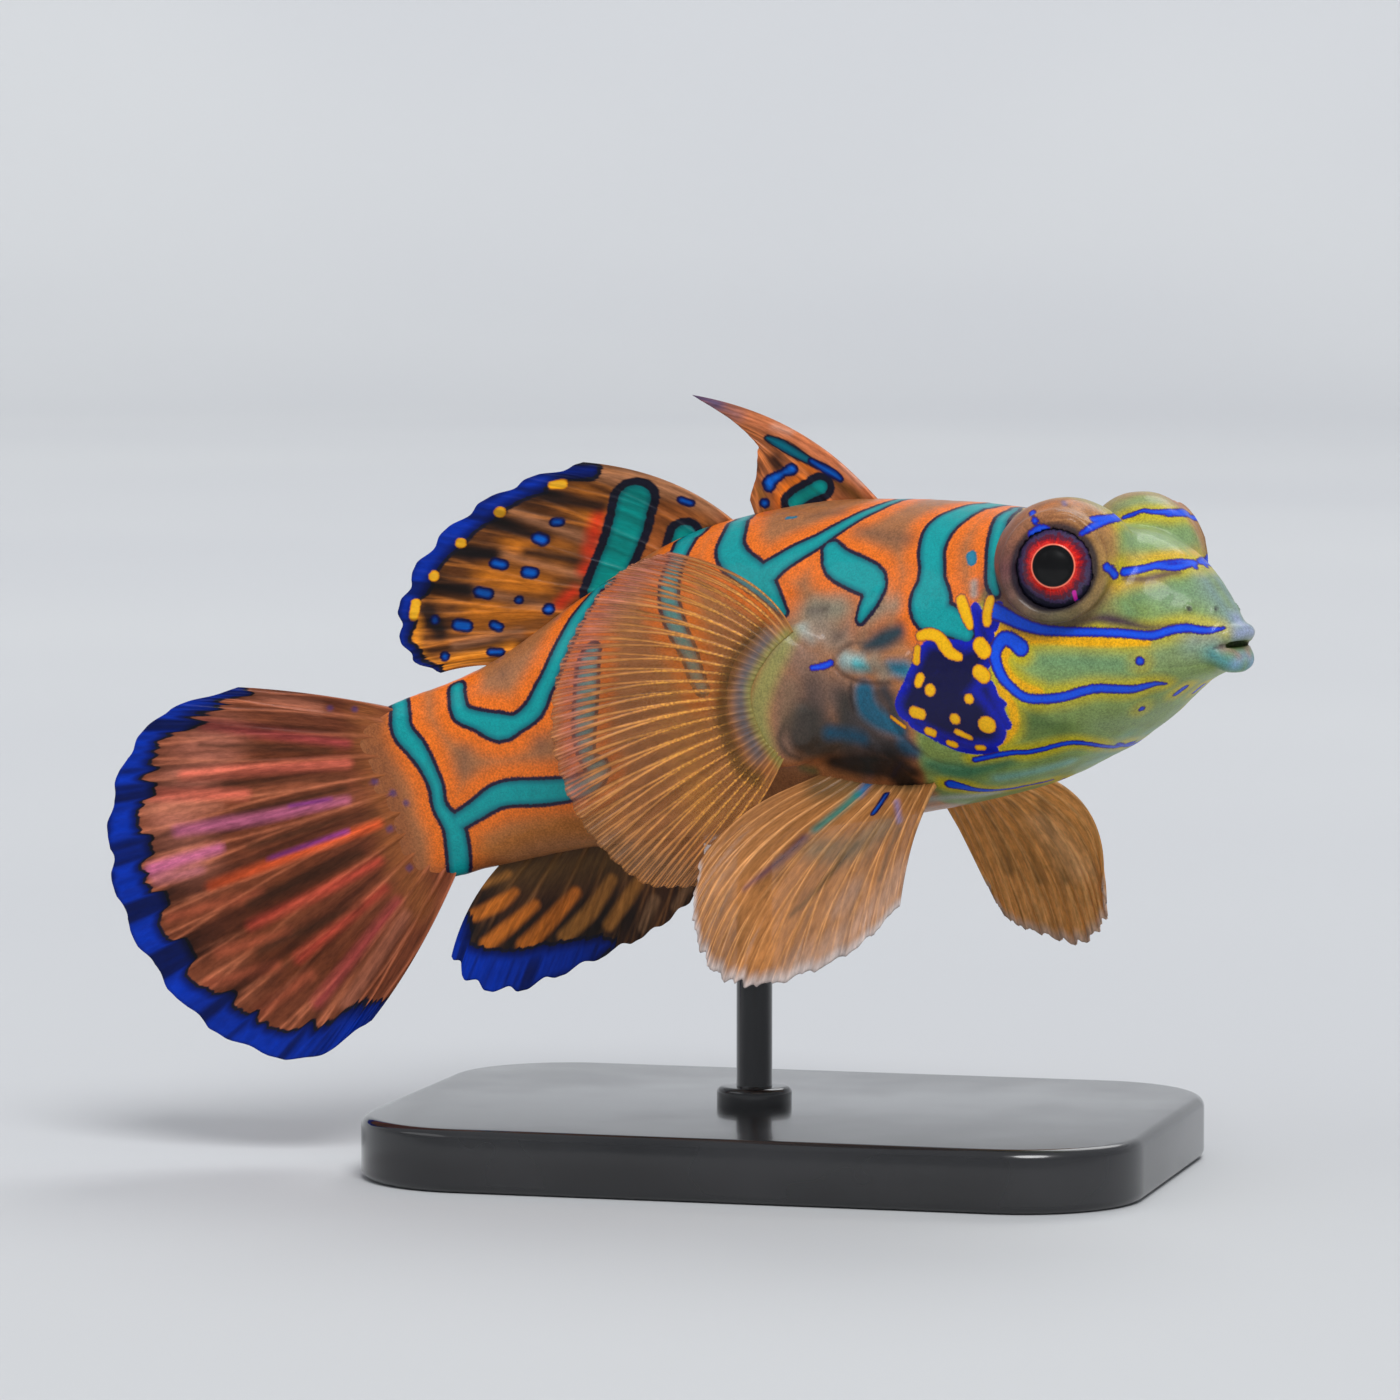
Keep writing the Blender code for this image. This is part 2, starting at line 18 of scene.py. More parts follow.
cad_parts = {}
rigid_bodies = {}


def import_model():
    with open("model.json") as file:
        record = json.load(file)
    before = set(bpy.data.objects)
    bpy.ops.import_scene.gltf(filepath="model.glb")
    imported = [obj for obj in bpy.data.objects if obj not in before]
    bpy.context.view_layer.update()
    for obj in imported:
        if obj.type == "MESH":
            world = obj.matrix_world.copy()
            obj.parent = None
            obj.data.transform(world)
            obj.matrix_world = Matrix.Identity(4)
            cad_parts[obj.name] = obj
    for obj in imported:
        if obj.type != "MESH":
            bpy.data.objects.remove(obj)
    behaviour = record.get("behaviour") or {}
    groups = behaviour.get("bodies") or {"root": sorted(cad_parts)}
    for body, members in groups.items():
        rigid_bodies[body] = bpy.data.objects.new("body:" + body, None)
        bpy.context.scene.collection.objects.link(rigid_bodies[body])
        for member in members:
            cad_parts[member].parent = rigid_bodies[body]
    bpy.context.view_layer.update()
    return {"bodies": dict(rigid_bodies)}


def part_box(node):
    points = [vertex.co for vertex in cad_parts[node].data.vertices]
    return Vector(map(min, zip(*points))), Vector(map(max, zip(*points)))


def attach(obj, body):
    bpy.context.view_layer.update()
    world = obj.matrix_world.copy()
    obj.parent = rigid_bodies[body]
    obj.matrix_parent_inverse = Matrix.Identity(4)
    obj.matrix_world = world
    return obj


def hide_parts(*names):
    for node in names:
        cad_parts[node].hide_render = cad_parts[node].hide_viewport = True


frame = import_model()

MM = 0.001

# The camera, matched to the photograph: its frame is this wide, in mm, at the target
PHOTO_SIZE = 1400
FRAME_WIDTH = 78.0
CAMERA_DISTANCE = 400.0
CAMERA_AZIMUTH, CAMERA_ELEVATION = math.radians(15), math.radians(4.5)
TARGET = np.array((-5.0, 0.0, 26.0))
SENSOR, CLIP_START = 36.0, 0.01

# Studio light: the colour and strength of the surroundings, and for each lamp where it comes from, its
# strength and its spread in degrees
WORLD_COLOUR = (0.80, 0.84, 0.90)
WORLD_STRENGTH = 0.48
SUNS = (
    ("key", (0.35, -0.70, 0.85), 1.9, 26.0), ("fill", (-0.80, -0.60, 0.45), 0.5, 50.0),
    ("back", (0.10, 0.80, 0.90), 0.7, 30.0),
)

# The pose: the height of the spine, and how it turns to the side and dips towards the tail
ANCHOR_S = 34.4
ANCHOR = (-5.0, 0.0, 26.0)
YAW_HEAD, YAW_TAIL = -21.0, 13.0
YAW_FROM, YAW_TO = 9.0, 51.0
PITCH_HEAD, PITCH_TAIL = 4.0, 21.0
PITCH_FROM, PITCH_TO = 25.0, 45.0
SPINE_START, SPINE_END, SPINE_STEP = -10.0, 90.0, 0.1

# Body sections: distance from the snout, back height, belly depth, half width, height of the widest line
BODY_SECTIONS = (
    (0.9, 3.0, -0.3, 1.25, 1.5),
    (2.2, 4.9, 0.1, 2.4, 1.5),
    (4.0, 6.7, 0.9, 3.8, 1.7),
    (6.2, 7.8, 2.5, 4.9, 1.5),
    (9.0, 8.3, 4.1, 5.7, 0.9),
    (13.5, 9.2, 5.8, 6.7, 0.4),
    (19.0, 9.9, 6.9, 7.1, 0.3),
    (26.0, 10.2, 7.7, 6.7, 0.5),
    (33.0, 9.3, 7.9, 5.4, 0.5),
    (39.0, 7.2, 7.0, 4.0, 0.2),
    (45.0, 5.4, 5.9, 2.6, -0.2),
    (50.5, 5.3, 5.2, 1.35, 0.0),
    (52.0, 5.2, 5.1, 0.95, 0.0),
    (53.4, 4.9, 4.8, 0.5, 0.0),
    (54.8, 4.0, 3.9, 0.15, 0.0),
)
SIDE_POWER, BACK_POWER = 0.9, 0.95
BODY_STEP, BODY_POINTS = 0.4, 96
SKIN_VOXEL = 0.13
FIRST_SMOOTHING, LAST_SMOOTHING = 6, 3

# Softening of the creases: how often, from where on the lips are softened, how far the ring of each lid
# stays crisp, and how far round and behind the middle of the pectoral lobe the softening of its front
# reaches
SOFTENING, LOBE_SOFTENING = 40, 220
LIP_CRISP = (1.0, 2.2)
LID_CRISP, LID_CRISP_REACH = 0.7, 3.6
LOBE_AHEAD, LOBE_ROUND = 1.5, (5.5, 7.0)

# Eyes, with the raised cups of skin that they sit in, and the lid folds round them
EYE_RADIUS = 2.55
EYE_CENTRE = np.array((8.9, 4.75, 6.1))
EYE_AXIS = np.array((-0.42, 0.9, 0.05)) / np.linalg.norm((-0.42, 0.9, 0.05))
CUP_CENTRE = (9.1, 3.85, 6.35)
CUP_RADII = (3.9, 3.5, 3.0)
RIM_RADIUS, RIM_OUT = 2.6, 1.35
RIM_THICKNESS = (0.36, 0.50, 0.47, 0.42)
RIM_GAP, RIM_GAP_AT, RIM_GAP_WIDTH = 0.20, 225.0, 50.0
SOCKET_RADIUS = 2.6
PUPIL_RADIUS, IRIS_RADIUS = 1.12, 2.3

# Stand: the plate's corners and edges, and the collar at the foot of the rod
PLATE_CORNER, PLATE_EDGE = 7.0, 0.6
PLATE_CORNER_STEPS, PLATE_EDGE_STEPS = 24, 16
COLLAR_OUT, COLLAR_HEIGHT, COLLAR_EDGE, COLLAR_SUNK = 1.1, 1.0, 0.35, 0.1
COLLAR_STEPS, ROD_SIDES = 7, 64
NECK_OUT, NECK_UP = 0.02, 0.05
SHARP_ANGLE = math.radians(35)

# Mouth and nostrils
MOUTH_CORNER = (1.6, 1.5, 1.5)
UPPER_LIP_FRONT = (0.7, 0.0, 2.1)
LOWER_LIP_FRONT = (1.1, 0.0, 0.57)
UPPER_LIP_THICKNESS, LOWER_LIP_THICKNESS, LIP_CORNER_THICKNESS = 0.5, 0.65, 0.34
CLEFT_CENTRE, CLEFT_RADII = (1.2, 0.0, 1.47), (1.6, 1.8, 0.18)
NOSTRIL, NOSTRIL_RADIUS = (2.8, 1.7, 3.9), 0.42
NOSTRIL_PIT, NOSTRIL_PIT_OUT = 0.2, (0.0, 0.2, 0.35)

# Fins in general: thickness of the web, and width and height of a ray, in mm; how far the web swings
# from ray to ray, and the shares that swing, root and rays lose towards their ends
WEB, WEB_TIP = 0.2, 0.1
RAY_WIDTH, RAY_HEIGHT, RAY_TIP, RAY_TAPER = 0.17, 0.09, 0.4, 0.4
FIN_SWING, SWING_FALL, ROOT_FALL = 0.04, 0.3, 0.6
ROW_SPACING = 1.1

# Forks: how far the branches part, in spaces between rays, and where along the ray they begin and end
# to part
FORKS = ((0.25, 0.3, 0.9), (0.125, 0.6, 1.1))

# The fins' edge: from where between two rays its notches are cut, how fine its fray is, and its pale tips
NOTCH, FRAY_SCALE = (0.1, 0.5), 2.3
TIP_COLOUR, TIPS_FROM = (0.70, 0.66, 0.66), (0.93, 1.0)

# Uneven colour: noise from ray to ray and over the web, and breaks in the strokes, each a scale across
# the rays and one along them; how light the rays are, and how whole the strokes; the waves of the
# painted shade of the folds, each its scale and its seed, with their level and heights
RAY_TONE_SCALE, RAY_LIGHT = 1.7, 0.75
WEB_PATCHES, PATCH_SEED = (2.0, 2.5), 5
STROKE_BREAKS, BREAK_SEED, WHOLE_STROKE = (4.5, 3.0), 3.0, 0.95
FOLD_WAVES = ((1.9, 9.0), (5.7, 12.0), (13.0, 15.0))
FOLD_LEVEL, FOLD_HEIGHTS, FOLDS_FROM = 0.42, (1.2, 0.7, 0.4), (0.05, 0.4)
# Painted shade of pleats near the fin's edge: the range of the waves that darkens, how much the finer waves
# add, and from where along the rays it shows
PLEAT, PLEAT_DETAIL, PLEATS_FROM = (0.0, 0.35), 0.5, (0.7, 0.9)
RAGGED_LEVEL = 0.8
FIN_GRAIN, GRAIN_LENGTH, FIN_GLOSS = 4.0, 0.2, 0.1

# See-through fins: how solid the rays are and how far the root's solid part reaches; where gold beads
# show, and how much they show between the rays
RAY_ALPHA, SOLID_ROOT = 0.97, 0.16
GLITTER_FROM, GLITTER_TO, GLITTER_LEAST = (0.14, 0.24), (-0.7, -0.4), 0.35

# What each fin may have of its own. Shape: how deep the edge is notched and frayed, how wide and high
# the rays are against the general ones, how thick the root is and how far that reaches, and the points
# along a ray. Colour: how mixed the colours are, how dark the painted shade of the folds is inside and
# at the edge, how ragged the margin is and how broken the strokes, how solid the web is and how much
# clearer at the first ray, gold beads, and pale tips.
FIN_DEFAULTS = {
    "notch": 0.03, "fray": 0.01, "width": 1.0, "height": 1.0, "root": 0.7, "reach": 0.1, "rows": 84,
    "mixed": 0.4, "folds": 0.3, "edge_fold_shade": 0.0, "ragged": 0.0, "broken": 0.3, "web_alpha": None,
    "clearer": 0.0, "glitter": 0.0, "tips": 0.0, "sides": ("",), "slot": "clear_fin", "marks": (),
}

# Each fin's outline: its base line, its tips, and the bow of its middle, from the first ray to the last
DORSAL_FIRST = (
    ((22.0, 0.0, 8.6), (29.7, 0.0, 8.2)),
    ((32.2, 0.0, 16.8), (30.0, 0.0, 14.3), (29.6, 0.0, 13.0), (30.2, 0.0, 10.6)),
    ((-0.5, 0.0, 0.7), (0.3, 0.0, 0.2), (0.0, 0.0, 0.0)),
)
DORSAL_SECOND = (
    ((30.3, 0.0, 8.4), (37.0, 0.0, 6.5), (42.8, 0.0, 4.4)),
    ((37.3, 0.0, 14.4), (40.4, 0.0, 14.4), (43.7, 0.0, 13.6), (46.8, 0.0, 12.0), (48.8, 0.0, 9.6),
     (48.9, 0.0, 7.3), (47.6, 0.0, 5.9)),
    ((-0.4, 0.0, 0.5), (0.0, 0.0, 0.0), (0.0, 0.0, 0.3)),
)
ANAL = (
    ((36.0, 0.0, -6.2), (41.0, 0.0, -5.4), (45.9, 0.0, -4.4)),
    ((38.2, 0.0, -10.9), (41.0, 0.0, -11.8), (44.2, 0.0, -12.2), (47.4, 0.0, -12.4), (50.4, 0.0, -12.3),
     (52.4, 0.0, -11.0), (52.8, 0.0, -9.2)),
    ((-0.6, 0.0, -0.3), (0.0, 0.0, 0.0), (0.5, 0.0, 0.6)),
)
CAUDAL = (
    ((50.8, 0.0, 5.0), (50.8, 0.0, -4.9)),
    ((58.5, 0.0, 9.2), (63.3, 0.0, 9.3), (67.0, 0.0, 6.6), (69.0, 0.0, 2.2), (69.0, 0.0, -2.9),
     (67.0, 0.0, -8.2), (62.8, 0.0, -11.7), (58.3, 0.0, -11.0)),
    ((0.0, 0.0, 0.2), (0.0, 0.0, 0.0), (0.0, 0.0, -0.4)),
)

# Paired fins of the right side, the one that shows, and the left pelvic fin, which is held less open
LOBE_CENTRE, LOBE_RADII, LOBE_TURN = (26.3, -7.0, -0.1), (4.1, 4.1, 1.3), -14.0
PECTORAL = (
    ((25.6, -7.2, 3.4), (27.0, -7.95, 2.1), (28.2, -8.25, 0.2), (27.7, -8.05, -2.1), (26.6, -7.5, -3.4)),
    ((32.0, -9.7, 8.5), (34.8, -10.2, 8.0), (37.6, -10.8, 6.0), (40.3, -11.2, 3.0), (41.6, -11.4, -0.6),
     (41.1, -11.3, -5.0), (38.3, -11.0, -8.6), (33.8, -9.8, -9.8)),
    ((-1.0, 0.3, 0.3), (0.0, 0.5, 0.0), (-0.6, 0.3, -0.3)),
)
PELVIC_RIGHT = (
    ((18.6, -2.9, -5.0), (21.3, -4.0, -5.3), (25.0, -5.0, -4.7)),
    ((16.0, -12.0, -11.4), (18.0, -14.0, -13.5), (22.2, -15.4, -14.9), (27.2, -15.6, -15.1),
     (31.6, -14.6, -13.6), (33.3, -13.2, -11.2), (32.5, -11.6, -8.4)),
    ((-0.5, -1.2, 0.8), (0.0, -1.2, 0.8), (0.3, -0.6, 0.4)),
)
PELVIC_LEFT = (
    ((18.3, 2.9, -5.0), (20.4, 3.6, -5.5), (23.2, 4.4, -5.2)),
    ((17.0, 11.4, -12.2), (17.5, 12.5, -14.4), (19.0, 12.8, -15.8), (20.6, 12.2, -15.3),
     (22.0, 11.0, -14.3), (22.6, 9.8, -12.0)),
    ((-1.0, 1.6, 1.2), (0.0, 1.2, 0.8), (0.4, 0.6, 0.4)),
)

# Colours
BRIGHT_ORANGE = (0.84, 0.17, 0.010)
TAN = (0.40, 0.155, 0.055)
TEAL = (0.0, 0.33, 0.34)
DEEP_TEAL = (0.0, 0.17, 0.21)
NAVY = (0.002, 0.002, 0.06)
INK = (0.008, 0.008, 0.02)
ROYAL = (0.0, 0.008, 0.46)
AZURE = (0.003, 0.085, 0.80)
GOLD = (0.90, 0.44, 0.0)
GREEN = (0.24, 0.33, 0.075)
LIME = (0.55, 0.45, 0.015)
MAROON = (0.06, 0.015, 0.04)
NAPE = (0.38, 0.20, 0.07)
BELLY = (0.60, 0.27, 0.12)
GREEN_MOTTLE = (0.0, 0.02, 0.03)

# Where the body's general colours lie. Distances to a band or line are in mm and below zero outside it,
# places are mm from the snout, and angles run from the back over the side to the belly, in degrees
ORANGE_BY_BAND = (-1.7, -0.5)
LIME_BY_LINE, LIME_WITHIN_BLUSH = (-0.9, -0.15), 0.1
BELLY_FROM, BELLY_UP_TO, BELLY_COVER = (140, 165), (-50, -40), 0.7
NAPE_FROM, NAPE_DOWN_TO, NAPE_COVER = (7.5, 11.0), (-55, -30), 0.8
MOTTLE_SCALE, MOTTLE_SEED = 0.9, 3.0
GREEN_LEAST, GREEN_MOTTLED, NAPE_LEAST, NAPE_MOTTLED = 0.8, 0.4, 0.7, 0.5
FACE_EDGE_WANDER, FACE_EDGE_SCALE, FACE_EDGE_BLUR = 0.5, 0.7, 0.35

# Strokes: the parts that a smooth one has between two points, and how far from it distances are
# measured, in mm. A pixel that misses the surface moves towards its middle by this share of the way,
# this many times at most.
STROKE_PARTS = 3
FAR = 3.0
SEARCH_STEP, SEARCH_STEPS = 0.02, 80

# Blue-green bands of the body, as strokes
TEAL_BANDS = (
    ((988, 503, 9), (962, 513, 13), (941, 528, 15), (932, 548, 13), (932, 566, 12), (931, 585, 15),
     (930, 602, 22), (934, 616, 17), (952, 622, 14), (966, 634, 8)),
    ((1020, 507, 2), (1003, 518, 6), (996, 540, 6.5), (993, 562, 6), (993, 580, 6.5), (996, 592, 4)),
    ((897, 501, 4), (880, 507, 5), (860, 516, 5.5), (835, 530, 6.5), (817, 542, 7.5), (798, 552, 9),
     (780, 563, 10), (765, 575, 13)),
    ((740, 517, 7), (735, 530, 10), (730, 548, 13), (737, 562, 14), (752, 574, 14), (766, 588, 11),
     (776, 602, 7), (784, 613, 3)),
    ((831, 549, 9), (838, 563, 15), (856, 573, 16), (872, 582, 15), (873, 595, 11), (867, 608, 8),
     (862, 619, 4)),
    ((690, 532, 11), (682, 548, 9), (676, 562, 8), (670, 580, 9), (669, 600, 9), (674, 620, 9),
     (682, 640, 8), (690, 655, 7), (695, 672, 7), (702, 688, 6)),
    ((603, 582, 6), (590, 600, 7), (575, 622, 7.5), (562, 648, 7.5), (550, 677, 8), (544, 688, 8),
     (534, 709, 9), (517, 723, 8), (499, 727, 13), (478, 720, 9), (461, 713, 8), (457, 695, 7),
     (457, 688, 7)),
    ((593, 650, 6), (588, 665, 10), (586, 700, 11), (584, 735, 10), (588, 760, 7), (597, 770, 8)),
    ((400, 706, 8), (402, 730, 9), (415, 747, 9), (426, 764, 7), (436, 786, 6), (440, 807, 6),
     (453, 826, 9), (457, 842, 10), (459, 863, 10), (459, 873, 9)),
    ((459, 821, 8), (478, 809, 9), (496, 797, 11), (513, 793, 12), (541, 792, 12), (569, 789, 11),
     (590, 783, 10), (600, 767, 9)),
)
# Bands that run over the back: they start at the middle of the back
OVER_THE_BACK = (0, 2, 3, 5, 8)

# Dark blue patch on the cheek, with a paler edge
CHEEK = (
    ((935, 660, 22), (960, 672, 28), (930, 700, 30), (960, 715, 35), (985, 730, 22)),
    ((910, 705, 18), (935, 660, 22)), ((960, 672, 26), (985, 645, 13), (975, 607, 5)),
    ((985, 690, 12), (1006, 725, 6)), ((990, 700, 9), (1003, 704, 4)),
    ((982, 629, 6), (992, 626, 7), (998, 607, 6)), ((915, 722, 8), (960, 745, 9), (992, 750, 7)),
)

# Blue lines of the face, and other small blue marks
BLUE_LINES = (
    ((1081, 534, 2), (1092, 527, 3.6), (1108, 520, 3.8), (1120, 519, 2.4), (1132, 515, 2.4),
     (1143, 511, 2.2), (1153, 512, 3), (1165, 512, 3.5), (1177, 512, 4), (1187, 512, 4)),
    ((1107, 567, 4), (1115, 575, 4)),
    ((1124, 572, 4), (1141, 569, 4), (1155, 566, 3.5), (1175, 567, 4), (1189, 564, 3.5),
     (1207, 560, 3.5), (1213, 564, 3)),
    ((992, 610, 8), (1004, 615, 7), (1020, 623, 6), (1038, 629, 5), (1055, 631, 4.5), (1089, 632, 4),
     (1120, 633, 4), (1141, 635, 4), (1155, 635, 4), (1171, 630, 4), (1187, 628, 4), (1201, 630, 3.5),
     (1213, 630, 3), (1224, 628, 1.5)),
    ((1021, 648, 8), (1013, 641, 7), (1003, 639, 7), (995, 652, 6), (997, 665, 5.5), (1003, 678, 5),
     (1012, 688, 4.5), (1024, 697, 4.5), (1038, 699, 4.5), (1062, 697, 4.5), (1093, 689, 4.5),
     (1115, 689, 4.5), (1134, 689, 4.5), (1154, 684, 3), (1166, 684, 1)),
    ((975, 760, 3), (1009, 753, 3), (1031, 752, 3), (1062, 744, 3), (1082, 743, 3), (1103, 746, 2.5),
     (1117, 747, 2.5), (1134, 742, 2)),
    ((1140, 661, 4),), ((1186, 687, 3), (1195, 692, 3)), ((1142, 709, 3),),
    ((1032, 512, 3), (1035, 521, 3)), ((1032, 534, 4), (1041, 528, 3.5), (1050, 529, 2)),
    ((812, 668, 2.5), (824, 666, 3.2), (831, 663, 3)),
    ((952, 784, 7), (980, 790, 4), (1010, 789, 3), (1052, 780, 2)),
)

# Gold dots and strokes of the cheek and face
GOLD_MARKS = (
    ((980, 645, 8), (984, 651, 8)), ((979, 672, 7.5), (984, 676, 7.5)), ((969, 699, 5.5),),
    ((920, 678, 5.5), (918, 683, 5)), ((930, 690, 6.5),), ((914, 712, 6), (921, 714, 6)),
    ((955, 719, 6),), ((987, 725, 9.5),), ((928, 731, 4.5), (933, 733, 4.5)),
    ((957, 732, 3.5), (970, 738, 3)), ((949, 743, 3.5), (955, 745, 3.5)),
    ((978, 748, 3.3), (983, 748, 3.3)), ((891, 717, 2), (905, 727, 2)),
    ((916, 661, 4.5), (917, 649, 4.5)),
    ((920, 636, 5), (929, 634, 6), (938, 637, 6), (945, 646, 7), (950, 653, 6), (959, 657, 4.5)),
    ((961, 600, 6), (966, 615, 6), (970, 626, 4)), ((990, 600, 5), (987, 614, 5), (987, 622, 5)),
)

# Gold that runs soft into the green of the face
GOLD_BLUSH = (
    ((998, 631, 6), (1009, 627, 5), (1019, 632, 5), (1028, 638, 6), (1049, 638, 6), (1078, 640, 6),
     (1112, 642, 5), (1147, 642, 4)),
    ((1006, 651, 6), (1003, 661, 5), (1008, 674, 5), (1021, 685, 4.5), (1040, 692, 4)),
    ((987, 700, 5), (992, 694, 5), (999, 690, 5), (1007, 698, 5), (1013, 710, 5), (1014, 726, 5),
     (1005, 740, 4), (995, 745, 4)),
)
GOLD_TINTS = ((GOLD, 1.0, 0.12, GOLD_BLUSH),)

# Where the face's green begins, from the back down to the belly
FACE_EDGE = ((1030, 492), (1003, 520), (990, 560), (985, 600), (960, 625), (940, 640), (925, 655),
             (915, 690), (908, 722), (918, 750), (932, 790))

# Faint purple dots at the root of the tail fin, partly on the skin and partly on the fin
TAIL_DOTS = (
    ((375, 781, 3.5),), ((393, 793, 3.5),), ((406, 803, 3),), ((391, 828, 3.5),), ((410, 867, 3.5),),
    ((330, 708, 3),), ((355, 709, 3),),
)
